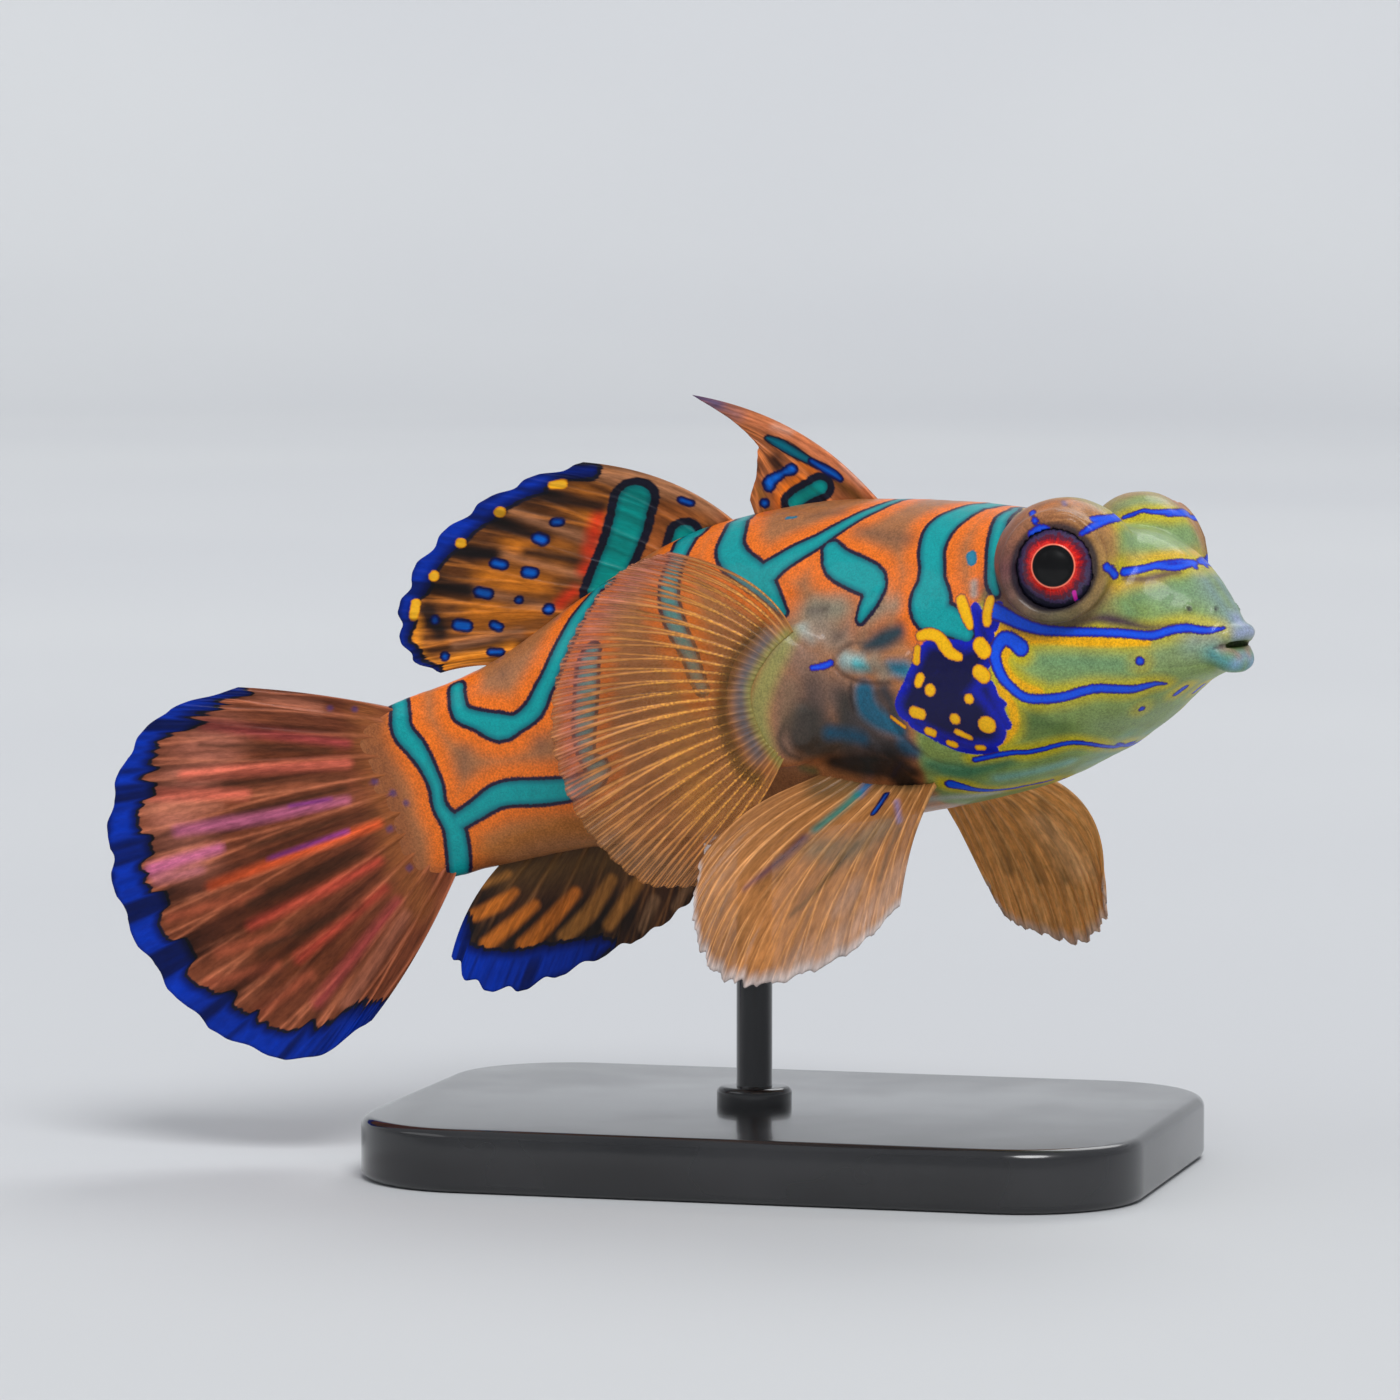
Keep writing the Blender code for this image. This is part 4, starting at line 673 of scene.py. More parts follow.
# The fins: outline, rays and points from ray to ray, noise seed, web and ray colours, tints, marks with
# their strokes, and what differs from the defaults
FINS = {
    "dorsal_fin_first": {
        "outline": DORSAL_FIRST, "rays": 4, "per_ray": 40, "seed": 11.0, "slot": "body_skin",
        "dark": (0.30, 0.09, 0.03), "light": (0.75, 0.22, 0.06), "folds": 0.15, "tints": FIRST_TINTS,
        "marks": ((SLATE_BAR, FIRST_SLATE), (TEAL_BAR, FIRST_TEAL), (BLUE_SPOTS, FIRST_BLUE)),
    },
    "dorsal_fin_second": {
        "outline": DORSAL_SECOND, "rays": 9, "per_ray": 24, "seed": 23.0, "slot": "blue_fin", "width": 0.8,
        "dark": (0.12, 0.038, 0.009), "light": (0.70, 0.22, 0.035), "mixed": 0.3, "broken": 0.1,
        "folds": 0.45, "edge_fold_shade": 0.45, "ragged": 0.3, "tints": DORSAL_TINTS,
        "marks": ((BLUE_MARGIN, DORSAL_MARGIN), (TEAL_BAR, DORSAL_BAR), (BLUE_SPOTS, DORSAL_BLUE),
                  (GOLD_SPOTS, DORSAL_GOLD)),
    },
    "anal_fin": {
        "outline": ANAL, "rays": 9, "per_ray": 24, "seed": 31.0, "slot": "blue_fin", "width": 0.8,
        "dark": (0.05, 0.02, 0.01), "light": (0.22, 0.09, 0.03), "mixed": 0.3, "notch": 0.04,
        "edge_fold_shade": 0.6, "ragged": 0.6, "tints": ANAL_TINTS, "marks": ((BLUE_MARGIN, ANAL_MARGIN),),
    },
    "caudal_fin": {
        "outline": CAUDAL, "rays": 12, "per_ray": 28, "seed": 43.0, "slot": "blue_fin", "width": 0.8,
        "dark": (0.18, 0.045, 0.018), "light": (0.60, 0.175, 0.08), "mixed": 0.3, "broken": 0.7,
        "notch": 0.015, "root": 1.5, "reach": 0.2, "folds": 0.55, "edge_fold_shade": 0.6, "ragged": 1.3,
        "tints": CAUDAL_STREAKS, "marks": ((BLUE_MARGIN, CAUDAL_MARGIN),),
    },
    "pectoral_fin": {
        "outline": PECTORAL, "rays": 28, "per_ray": 20, "seed": 57.0, "sides": ("right", "left"),
        "dark": (0.40, 0.15, 0.05), "light": (0.66, 0.28, 0.08), "mixed": 0.35, "notch": 0.012,
        "fray": 0.012, "width": 0.5, "height": 0.5, "rows": 64, "folds": 0.35, "web_alpha": 0.42,
        "clearer": 0.7, "glitter": 1.0, "tints": PECTORAL_TINTS,
    },
    "pelvic_fin_right": {
        "outline": PELVIC_RIGHT, "rays": 12, "per_ray": 32, "seed": 61.0, "dark": (0.42, 0.17, 0.05),
        "light": (0.78, 0.36, 0.13), "notch": 0.02, "fray": 0.05, "width": 0.6, "height": 0.6,
        "folds": 0.25, "tips": 0.7, "web_alpha": 0.78, "tints": PELVIC_TINTS,
        "marks": ((BLUE_SPOTS, PELVIC_BLUE),),
    },
    # the left pelvic fin's colours are brightened with painted light, for the light that shines through it
    # in the body's shade
    "pelvic_fin_left": {
        "outline": PELVIC_LEFT, "rays": 12, "per_ray": 24, "seed": 67.0, "dark": (0.86, 0.36, 0.09),
        "light": (1.0, 0.50, 0.17), "notch": 0.02, "fray": 0.04, "width": 0.6, "height": 0.6,
        "folds": 0.2, "tips": 0.5, "web_alpha": 0.92, "tints": LEFT_PELVIC_GLOW_AND_STREAKS,
    },
}

# Glints on the iris below the pupil, each its colour, how far its edge runs out in mm, and its strokes,
# and the iris' rings of colour from the pupil outward, each with the radius in mm from where it is full
EYE_GLINTS = {
    "magenta": ((0.75, 0.02, 0.45), 0.05, (((1074, 592, 2.0), (1076, 600, 1.6)),)),
    "blue": ((0.01, 0.06, 0.75), 0.04, (((1078, 601, 2.6),),)),
}
PUPIL_COLOUR, PUPIL_RIM = (0.0003, 0.0003, 0.0005), (1.0, 0.22, 0.13)
INNER_IRIS = (0.95, 0.05, 0.03)
IRIS_RINGS = (
    (PUPIL_RADIUS + 0.14, (0.85, 0.014, 0.008)),
    (PUPIL_RADIUS + 0.36, (0.46, 0.005, 0.010)),
    (PUPIL_RADIUS + 0.58, (0.13, 0.010, 0.035)),
    (PUPIL_RADIUS + 0.88, (0.065, 0.04, 0.11)),
    (IRIS_RADIUS, (0.020, 0.020, 0.04)),
)
RING_BLUR = 0.16

# Streaks and clouds that shift the rings, each its scale and how far it shifts them in mm; specks on
# the iris; and the edges of the glints, the pupil's rim and the pupil, in mm
STREAK_SCALE, STREAK_SHIFT = 7.0, 0.13
CLOUD_SCALE, CLOUD_SHIFT = 1.3, 0.10
SPECK_SCALE, SPECK_DETAIL, SPECK_RANGE = 9.0, 3.0, (0.35, 0.7)
SPECK_COVER, SPECK_TONE = 0.45, (0.3, 0.3, 0.3)
GLINT_INSIDE, RIM_EDGE, PUPIL_EDGE = 0.03, (0.10, 0.04), (0.03, -0.03)

# The low ridge round the pupil: its height, how far out it is and how wide, in pupil radii and in mm
RIDGE_HEIGHT, RIDGE_AT, RIDGE_WIDTH = 0.10, 1.05, 0.16

# What most of a material's noise lies between, and the detail and roughness of fine and coarse noise
NOISE_RANGE, COARSE_RANGE = (0.3, 0.7), (0.35, 0.65)
FINE_NOISE, COARSE_NOISE = (3.0, 0.7), (2.0, 0.5)

# The materials of skin and web: the grain's scale and strength, how far it shifts the edges of marks,
# how it shows on them and how sharp they and their dark lines are, in mm, and the gold beads along the
# rays
SKIN_GRAIN, SPECKLE, COARSE_SPECKLE, MARK_GRAIN = 8.5, 0.24, 0.06, 0.55
COARSER = 0.2
EDGE_SHIFT, EDGE_BLUR, LINE_OUTER, LINE_INNER = 0.22, 0.05, 0.07, 0.05
SKIN_GLOSS, SKIN_ROUGHNESS, COAT_ROUGHNESS = 0.22, (0.36, 0.52), 0.12
SKIN_BUMP, BUMP_STRENGTH = 0.00004, 0.5
BEAD_COLOUR, BEAD_STRETCH, BEAD_SCALE = (1.0, 0.46, 0.08), (1.0, 5.0, 1.0), 5.5
BEAD_DETAIL, BEAD_RANGE = 1.0, (0.46, 0.62)

# Stand and floor: their colours, and their smears, patches and fine grain
ACRYLIC_DARK, ACRYLIC_LIGHT = (0.012, 0.012, 0.013), (0.022, 0.022, 0.024)
ACRYLIC_ROUGHNESS, ACRYLIC_BUMP, ACRYLIC_BUMP_STRENGTH = (0.10, 0.24), 0.00001, 0.3
SMEAR_SCALE, SMEAR_DETAIL, STUDIO_GRAIN = 60.0, 3.0, 900.0
PAPER_DARK, PAPER_LIGHT, PAPER_PATCHES = (0.59, 0.60, 0.62), (0.63, 0.64, 0.65), 3.0
PAPER_BUMP, PAPER_BUMP_STRENGTH = 0.00003, 0.2

# The floor: its flat part, rounded corner, height and sides, in metres; where the rings of the flat
# part, of the corner and of the wall start, and how many there are
FLOOR_RADIUS, FLOOR_CORNER, FLOOR_HEIGHT, FLOOR_SIDES = 1.1, 0.5, 0.9, 96
FLAT_START, FLAT_RINGS = 0.05, 6
CORNER_START, CORNER_RINGS = 0.1, 12
WALL_START, WALL_RINGS = 0.2, 4


def catmull_rom(points, t):
    """Points of a smooth curve through the given ones, at t from 0 to 1."""
    p = np.asarray(points, float)
    p = np.vstack([2 * p[0] - p[1], p, 2 * p[-1] - p[-2]])
    count = len(p) - 3
    x = np.clip(np.asarray(t, float), 0, 1) * count
    i = np.minimum(x.astype(int), count - 1)
    f = (x - i)[..., None]
    a, b, c, d = p[i], p[i + 1], p[i + 2], p[i + 3]
    return 0.5 * (2 * b + (c - a) * f + (2 * a - 5 * b + 4 * c - d) * f**2 + (3 * b - a - 3 * c + d) * f**3)


def smooth_step(x, low, high):
    """Rises smoothly from 0 at the low value to 1 at the high one."""
    t = np.clip((np.asarray(x, float) - low) / (high - low), 0, 1)
    return t * t * (3 - 2 * t)


def blend(below, above, amount):
    """Two colours mixed: all of the second where the amount is 1."""
    return np.asarray(below) * (1 - amount) + np.asarray(above) * amount


def noise_at(points, scale, seed=0.0):
    """Smooth noise from -1 to 1, with features about 1 / scale mm across."""
    return np.array([noise.noise(Vector(p)) for p in (points * scale + seed).tolist()])


def on_the_left(points):
    """The points with the fish's right side laid onto its left."""
    return points * (1, 0, 1) + np.abs(points) * (0, 1, 0)


def section_at(s):
    """Back, belly, half width and height of the widest line at s, smooth from section to section."""
    table = np.array(BODY_SECTIONS)
    index = np.interp(s, table[:, 0], np.arange(len(table)))
    return np.moveaxis(catmull_rom(table[:, 1:], index / (len(table) - 1)), -1, 0)


def heading(yaw, pitch):
    """The direction towards the head."""
    return np.stack([np.cos(pitch) * np.cos(yaw), np.cos(pitch) * np.sin(yaw), np.sin(pitch)], -1)


def spine_table():
    """Stations along the spine, with the place and the direction of the body at each."""
    s = np.arange(SPINE_START, SPINE_END, SPINE_STEP)
    yaw = np.radians(YAW_HEAD + (YAW_TAIL - YAW_HEAD) * smooth_step(s, YAW_FROM, YAW_TO))
    pitch = np.radians(PITCH_HEAD + (PITCH_TAIL - PITCH_HEAD) * smooth_step(s, PITCH_FROM, PITCH_TO))
    place = -np.cumsum(heading(yaw, pitch), 0) * SPINE_STEP
    anchor = [np.interp(ANCHOR_S, s, place[:, i]) for i in range(3)]
    return s, yaw, pitch, place + np.array(ANCHOR) - np.array(anchor)


SPINE = spine_table()


def posed(points):
    """Straight fish coordinates to the pose, both in millimetres."""
    points = np.asarray(points, float)
    s, yaw, pitch, place = SPINE
    at = points[..., 0]
    yaw, pitch = np.interp(at, s, yaw), np.interp(at, s, pitch)
    centre = np.stack([np.interp(at, s, place[:, i]) for i in range(3)], -1)
    level = np.stack([-np.sin(yaw), np.cos(yaw), np.zeros_like(yaw)], -1)
    upright = np.cross(heading(yaw, pitch), level)
    return centre + points[..., 1:2] * level + points[..., 2:3] * upright


# The camera's own directions, and where it stands
BACK = np.array((math.sin(CAMERA_AZIMUTH) * math.cos(CAMERA_ELEVATION),
                 -math.cos(CAMERA_AZIMUTH) * math.cos(CAMERA_ELEVATION), math.sin(CAMERA_ELEVATION)))
RIGHT = np.array((math.cos(CAMERA_AZIMUTH), math.sin(CAMERA_AZIMUTH), 0.0))
UP = np.cross(BACK, RIGHT)
EYE_POINT = TARGET + BACK * CAMERA_DISTANCE
PIXEL = FRAME_WIDTH / PHOTO_SIZE


def view_ray(x, y):
    """The direction in which the camera sees a pixel of the photograph."""
    across, up = (x - PHOTO_SIZE / 2) * PIXEL, (PHOTO_SIZE / 2 - y) * PIXEL
    ray = RIGHT * across + UP * up - BACK * CAMERA_DISTANCE
    return ray / np.linalg.norm(ray)


def pixel_of(point):
    """Where the photograph shows a point, in its pixels."""
    away = np.asarray(point) - EYE_POINT
    scale = CAMERA_DISTANCE / -(away @ BACK) / PIXEL
    return PHOTO_SIZE / 2 + (away @ RIGHT) * scale, PHOTO_SIZE / 2 - (away @ UP) * scale


class Surface:
    """A straight surface with its posed copy, onto which strokes in the photograph's pixels are carried."""

    def __init__(self, straight, triangles, folded=False):
        self.straight = np.asarray(straight, float)
        self.triangles = np.asarray(triangles, int)
        self.folded = folded
        self.posed = posed(self.straight)
        self.tree = BVHTree.FromPolygons(self.posed.tolist(), self.triangles.tolist())
        self.middle = pixel_of(self.posed.mean(0))

    def fold(self, points):
        """Both sides of the fish as one, where a surface has the same marks on both."""
        return on_the_left(points) if self.folded else points

    def under(self, x, y):
        """The straight point that the camera shows at a pixel, or the first on the way to the middle."""
        for _ in range(SEARCH_STEPS):
            hit, _normal, index, _depth = self.tree.ray_cast(Vector(EYE_POINT), Vector(view_ray(x, y)))
            if hit is not None:
                corners = self.triangles[index]
                on = [Vector(self.posed[i]) for i in corners]
                to = [Vector(self.straight[i]) for i in corners]
                return np.array(barycentric_transform(hit, *on, *to))
            x += (self.middle[0] - x) * SEARCH_STEP
            y += (self.middle[1] - y) * SEARCH_STEP
        return self.straight.mean(0)

    def carried(self, stroke, over_the_back=False):
        """A stroke's places and half widths in mm, smoothed between its points."""
        stroke = np.array(stroke, float)
        if len(stroke) > 2:
            stroke = catmull_rom(stroke, np.linspace(0, 1, STROKE_PARTS * (len(stroke) - 1) + 1))
        line = [(*self.under(x, y), half * PIXEL) for x, y, half in stroke]
        if over_the_back:
            s, half = line[0][0], line[0][3]
            line.insert(0, (s, 0.0, section_at(s)[0], half))
        return self.fold(np.array(line)[:, :3]), np.array(line)[:, 3]

    def distance(self, strokes, over_the_back=()):
        """How far each point lies outside the nearest stroke, in mm. Inside a stroke it is below zero."""
        points = self.fold(self.straight)
        nearest = np.full(len(points), FAR)
        for number, stroke in enumerate(strokes):
            places, halves = self.carried(stroke, number in over_the_back)
            low, high = places.min(0) - halves.max() - FAR, places.max(0) + halves.max() + FAR
            near = np.flatnonzero(np.all((points > low) & (points < high), axis=1))
            part, best = points[near], nearest[near]
            for i in range(max(1, len(places) - 1)):
                j = min(i + 1, len(places) - 1)
                along = places[j] - places[i]
                t = np.clip((part - places[i]) @ along / max(along @ along, 1e-9), 0, 1)
                away = np.linalg.norm(part - places[i] - t[:, None] * along, axis=1)
                best = np.minimum(best, away - halves[i] - (halves[j] - halves[i]) * t)
            nearest[near] = best
        return nearest

    def inside(self, strokes, softness):
        """1 in the strokes and 0 outside them, with an edge as soft as given, in mm."""
        return smooth_step(-self.distance(strokes), -softness, softness)

    def tint(self, colours, tints, broken=1.0):
        """Lays soft strokes of colour over the colours of the points, thinner where they are broken."""
        for colour, strength, softness, strokes in tints:
            cover = strength * (broken * self.inside(strokes, softness))[:, None]
            colours[:] = blend(colours, colour, cover)


def ring_faces(rows, sides, poles=False):
    """Faces over rings of points; the ends close on two last points, or on flat caps."""
    index = np.arange(rows * sides).reshape(rows, sides)
    after = np.roll(index, -1, axis=1)
    quads = np.stack([index[:-1], after[:-1], after[1:], index[1:]], -1).reshape(-1, 4)
    faces = [tuple(q) for q in quads.tolist()]
    if poles:
        top, bottom = rows * sides, rows * sides + 1
        faces += [(top, int(b), int(a)) for a, b in zip(index[0], after[0])]
        faces += [(bottom, int(a), int(b)) for a, b in zip(index[-1], after[-1])]
    else:
        faces += [tuple(index[0][::-1].tolist()), tuple(index[-1].tolist())]
    return faces


def ellipsoid(centre, radii, axis=(0.0, 0.0, 1.0), sides=48, rings=32):
    """An ellipsoid whose third radius lies along the axis, as points and faces."""
    turn = np.linspace(0, 2 * math.pi, sides, endpoint=False)
    rise = np.linspace(0, math.pi, rings + 1)[1:-1]
    ring = np.stack([np.outer(np.sin(rise), np.cos(turn)), np.outer(np.sin(rise), np.sin(turn)),
                     np.outer(np.cos(rise), np.ones(sides))], -1)
    points = np.vstack([ring.reshape(-1, 3), (0, 0, 1), (0, 0, -1)]) * radii
    matrix = np.array(Vector(axis).to_track_quat("Z", "Y").to_matrix())
    return points @ matrix.T + centre, ring_faces(rings - 1, sides, True)


def tube(points, radii, sides=16):
    """A round tube through points that stay roughly level, as points and faces."""
    points = np.asarray(points, float)
    ahead = np.gradient(points, axis=0)
    ahead /= np.linalg.norm(ahead, axis=1, keepdims=True)
    side = np.cross(ahead, (0, 0, 1))
    side /= np.linalg.norm(side, axis=1, keepdims=True)
    up = np.cross(side, ahead)
    turn = np.linspace(0, 2 * math.pi, sides, endpoint=False)
    circle = side[:, None] * np.cos(turn)[:, None] + up[:, None] * np.sin(turn)[:, None]
    rings = points[:, None] + circle * np.asarray(radii)[:, None, None]
    return rings.reshape(-1, 3), ring_faces(len(points), sides)


def round_the_eye(values, degrees):
    """A value for each angle round the eye, from ones at the snout, above, behind and below."""
    return np.interp(degrees, (0, 90, 180, 270, 360), (*values, values[0]))


def lid_gap(degrees):
    """How far the lid stands off the eye, at each angle round it."""
    return RIM_GAP * np.exp(-(((degrees - RIM_GAP_AT) / RIM_GAP_WIDTH) ** 2))


def lid(flip, sides=96, rings=16):
    """The fold of skin round an eye: thicker above and behind, and away from the eye below at the back."""
    ahead = np.cross(EYE_AXIS, np.cross((-1, 0, 0), EYE_AXIS))
    ahead /= np.linalg.norm(ahead)
    up = np.cross(ahead, EYE_AXIS)
    up *= np.sign(up[2])
    degrees = np.linspace(0, 360, sides, endpoint=False)
    turn = np.radians(degrees)[:, None]
    round_it = np.linspace(0, 2 * math.pi, rings, endpoint=False)[None, :]
    thick = round_the_eye(RIM_THICKNESS, degrees)[:, None]
    out = (RIM_RADIUS + lid_gap(degrees)[:, None] + thick * np.cos(round_it))[..., None]
    points = EYE_CENTRE + out * (np.cos(turn)[..., None] * ahead + np.sin(turn)[..., None] * up)
    points = points + (RIM_OUT + thick * np.sin(round_it))[..., None] * EYE_AXIS
    index = np.arange(sides * rings).reshape(sides, rings)
    next_ring, next_side = np.roll(index, -1, axis=0), np.roll(index, -1, axis=1)
    quads = np.stack([index, next_ring, np.roll(next_ring, -1, axis=1), next_side], -1).reshape(-1, 4)
    return flip * points.reshape(-1, 3), [tuple(q) for q in quads.tolist()]


def lip(front, thickness, steps=41):
    """A lip, as a tube that bends from one corner of the mouth round the front to the other."""
    t = np.linspace(-1, 1, steps)
    s = MOUTH_CORNER[0] + (front[0] - MOUTH_CORNER[0]) * np.cos(t * math.pi / 2)
    y = MOUTH_CORNER[1] * np.sin(t * math.pi / 2)
    z = front[2] + (MOUTH_CORNER[2] - front[2]) * np.abs(t) ** 3
    return tube(np.stack([s, y, z], -1), thickness + (LIP_CORNER_THICKNESS - thickness) * t**2)


def body_shell():
    """The straight body from the snout to the end of the tail stalk."""
    s = np.arange(BODY_SECTIONS[0][0], BODY_SECTIONS[-1][0], BODY_STEP)
    back, belly, half_width, widest = (value[:, None] for value in section_at(s))
    angle = np.linspace(0, 2 * math.pi, BODY_POINTS, endpoint=False)[None, :]
    up, side = np.cos(angle), np.sin(angle)
    height = np.where(up > 0, back - widest, belly + widest)
    y = half_width * np.sign(side) * np.abs(side) ** SIDE_POWER
    z = widest + height * np.sign(up) * np.abs(up) ** BACK_POWER
    points = np.stack([np.broadcast_to(s[:, None], y.shape), y, z], -1)
    return points.reshape(-1, 3), ring_faces(len(s), BODY_POINTS)


def joined(shells):
    """Several shells as one list of points and one of faces."""
    points, faces, start = [], [], 0
    for shell_points, shell_faces in shells:
        points.append(shell_points)
        faces += [tuple(i + start for i in face) for face in shell_faces]
        start += len(shell_points)
    return np.vstack(points), faces


def new_object(name, points, faces, scale=1.0):
    """A mesh object in the scene, from points and faces."""
    mesh = bpy.data.meshes.new(name)
    mesh.from_pydata((np.asarray(points) * scale).tolist(), [], faces)
    obj = bpy.data.objects.new(name, mesh)
    bpy.context.scene.collection.objects.link(obj)
    return obj


def outward(obj):
    """Turns the faces of a mesh outward."""
    bm = bmesh.new()
    bm.from_mesh(obj.data)
    bmesh.ops.recalc_face_normals(bm, faces=bm.faces[:])
    bm.to_mesh(obj.data)
    bm.free()
    return obj


def applied(obj):
    """Replaces the object's mesh by what its modifiers make of it."""
    bpy.context.view_layer.update()
    graph = bpy.context.evaluated_depsgraph_get()
    mesh = bpy.data.meshes.new_from_object(obj.evaluated_get(graph))
    obj.modifiers.clear()
    old, obj.data = obj.data, mesh
    bpy.data.meshes.remove(old)
    return obj


def smooth(obj, iterations, group=""):
    """Adds smoothing, everywhere or as much as a vertex group says."""
    modifier = obj.modifiers.new("Smooth", "SMOOTH")
    modifier.factor = 0.5
    modifier.iterations = iterations
    modifier.vertex_group = group


def remeshed(obj, iterations):
    """One even surface over everything in the object, with its creases a little softened."""
    remesh = obj.modifiers.new("Remesh", "REMESH")
    remesh.mode = "VOXEL"
    remesh.voxel_size = SKIN_VOXEL
    smooth(obj, iterations)
    return applied(obj)


def smooth_where(obj, weight, iterations, levels=10):
    """Smooths the object's mesh, each point as much as its weight says."""
    group = obj.vertex_groups.new(name="soft")
    for level in range(1, levels + 1):
        chosen = np.flatnonzero(np.round(weight * levels) == level)
        group.add(chosen.tolist(), level / levels, "REPLACE")
    smooth(obj, iterations, group.name)
    applied(obj)
    obj.vertex_groups.clear()


def soften(obj):
    """Lets cups, lips and lobes run into the body, but keeps the lids and the front of the lips crisp."""
    points = on_the_left(of_vertices(obj.data))
    along = (points - EYE_CENTRE) @ EYE_AXIS
    across = np.linalg.norm(points - EYE_CENTRE - along[:, None] * EYE_AXIS, axis=1)
    from_ring = (across - RIM_RADIUS) ** 2 + (along - RIM_OUT) ** 2
    crisp = np.exp(-from_ring / LID_CRISP**2) * (across < LID_CRISP_REACH)
    smooth_where(obj, (1 - crisp) * smooth_step(points[:, 0], *LIP_CRISP), SOFTENING)
    from_lobe = points - np.array(LOBE_CENTRE) * (1, -1, 1)
    ahead = smooth_step(-from_lobe[:, 0], -LOBE_AHEAD, LOBE_AHEAD)
    near = smooth_step(-np.linalg.norm(from_lobe, axis=1), -LOBE_ROUND[1], -LOBE_ROUND[0])
    smooth_where(obj, ahead * near, LOBE_SOFTENING)


def cut(obj, shells):
    """Cuts closed shells out of the object."""
    tool = outward(new_object("tool", *joined(shells)))
    boolean = obj.modifiers.new("Cut", "BOOLEAN")
    boolean.operation = "DIFFERENCE"
    boolean.solver = "MANIFOLD"
    boolean.object = tool
    applied(obj)
    bpy.data.objects.remove(tool)


def straight_skin():
    """The skin of the whole fish, still straight: body, cups, lids, lips, nostrils and pectoral lobes."""
    lips = [lip(UPPER_LIP_FRONT, UPPER_LIP_THICKNESS), lip(LOWER_LIP_FRONT, LOWER_LIP_THICKNESS)]
    shells = [body_shell(), *lips]
    hollows = [ellipsoid(CLEFT_CENTRE, CLEFT_RADII)]
    turn = math.radians(LOBE_TURN)
    pit = np.array(NOSTRIL) + NOSTRIL_PIT_OUT
    for side in (1, -1):
        flip = np.array((1, side, 1))
        lobe_axis = flip * (math.sin(turn), -math.cos(turn), 0)
        shells.append(ellipsoid(flip * CUP_CENTRE, CUP_RADII, flip * EYE_AXIS))
        shells.append(lid(flip))
        shells.append(ellipsoid(flip * NOSTRIL, (NOSTRIL_RADIUS,) * 3, sides=24, rings=16))
        shells.append(ellipsoid(flip * LOBE_CENTRE, LOBE_RADII, lobe_axis))
        hollows.append(ellipsoid(flip * EYE_CENTRE, (SOCKET_RADIUS,) * 3, sides=96, rings=64))
        hollows.append(ellipsoid(flip * pit, (NOSTRIL_PIT,) * 3, sides=16, rings=12))
    obj = outward(new_object("fish_skin", *joined(shells)))
    remeshed(obj, FIRST_SMOOTHING)
    soften(obj)
    cut(obj, hollows)
    return remeshed(obj, LAST_SMOOTHING)


def of_vertices(mesh, name="co"):
    """The places of a mesh's points, or their normals."""
    values = np.empty(len(mesh.vertices) * 3, np.float32)
    mesh.vertices.foreach_get(name, values)
    return values.reshape(-1, 3).astype(float)


def triangles_of(mesh):
    """The points' numbers of each triangle of a mesh."""
    mesh.calc_loop_triangles()
    triangles = np.empty(len(mesh.loop_triangles) * 3, np.int32)
    mesh.loop_triangles.foreach_get("vertices", triangles)
    return triangles.reshape(-1, 3)


def give(mesh, name, values, kind="FLOAT"):
    """Stores a value for each point, for the material to read."""
    values = np.asarray(values, np.float32)
    if kind == "FLOAT_COLOR":
        values = np.hstack([values, np.ones((len(values), 1), np.float32)])
    field = {"FLOAT": "value", "FLOAT_VECTOR": "vector", "FLOAT_COLOR": "color"}[kind]
    attribute = mesh.attributes.new(name, kind, "POINT")
    attribute.data.foreach_set(field, values.ravel())


def bend(obj, raised=0.0):
    """Bends a straight mesh in mm into the pose, in metres, with its points raised along their normals."""
    points = of_vertices(obj.data) + of_vertices(obj.data, "normal") * raised
    obj.data.vertices.foreach_set("co", (posed(points) * MM).astype(np.float32).ravel())
    obj.data.flip_normals()
    obj.data.shade_smooth()


def polar_angle(points):
    """The angle round the body, in degrees: 0 on the back, 90 on the side and 180 on the belly."""
    widest = section_at(points[:, 0])[3]
    return np.degrees(np.arctan2(np.abs(points[:, 1]), points[:, 2] - widest))


def paint_lids(points, colours):
    """Colours the folds round the eyes, and paints shadow into the sockets, between lids and eyeballs."""
    away = on_the_left(points) - EYE_CENTRE
    along = away @ EYE_AXIS
    flat = away - along[:, None] * EYE_AXIS
    across = np.linalg.norm(flat, axis=1)
    degrees = np.degrees(np.arctan2(flat[:, 2], -flat[:, 0])) % 360
    tone = np.stack([round_the_eye(channel, degrees) for channel in zip(*LID_COLOURS)], -1)
    tone = tone * (1 + LID_MOTTLE * noise_at(points, LID_MOTTLE_SCALE, LID_SEED)[:, None])
    cover = smooth_step(round_the_eye(LID_REACH, degrees) - across, 0.0, LID_BLUR[0])
    cover = LID_COVER * cover * smooth_step(along - round_the_eye(LID_BACK, degrees), 0.0, LID_BLUR[1])
    colours[:] = blend(colours, tone, cover[:, None])
    # painted shadow in the socket, round the eyeball
    dark = SOCKET_SHADOW * smooth_step(lid_gap(degrees) - across, *SOCKET_SHADOW_EDGE)
    colours[:] = blend(colours, INK, dark[:, None])


def rise_of(surface):
    """How far each point of the skin is raised, in mm."""
    rise = sum(height * noise_at(surface.straight, scale, UNEVENNESS_SEED) for height, scale in UNEVENNESS)
    return rise + sum(height * surface.inside(strokes, softness) for height, softness, strokes in RELIEF)


def face_of(surface):
    """1 for the points of the green face, and 0 behind its edge."""
    points = surface.straight
    edge = np.array([surface.under(x, y) for x, y in FACE_EDGE])
    angles = polar_angle(edge)
    order = np.argsort(angles)
    behind = points[:, 0] - np.interp(polar_angle(points), angles[order], edge[order, 0])
    behind += FACE_EDGE_WANDER * noise_at(points, FACE_EDGE_SCALE)
    return smooth_step(-behind, -FACE_EDGE_BLUR, FACE_EDGE_BLUR)[:, None]


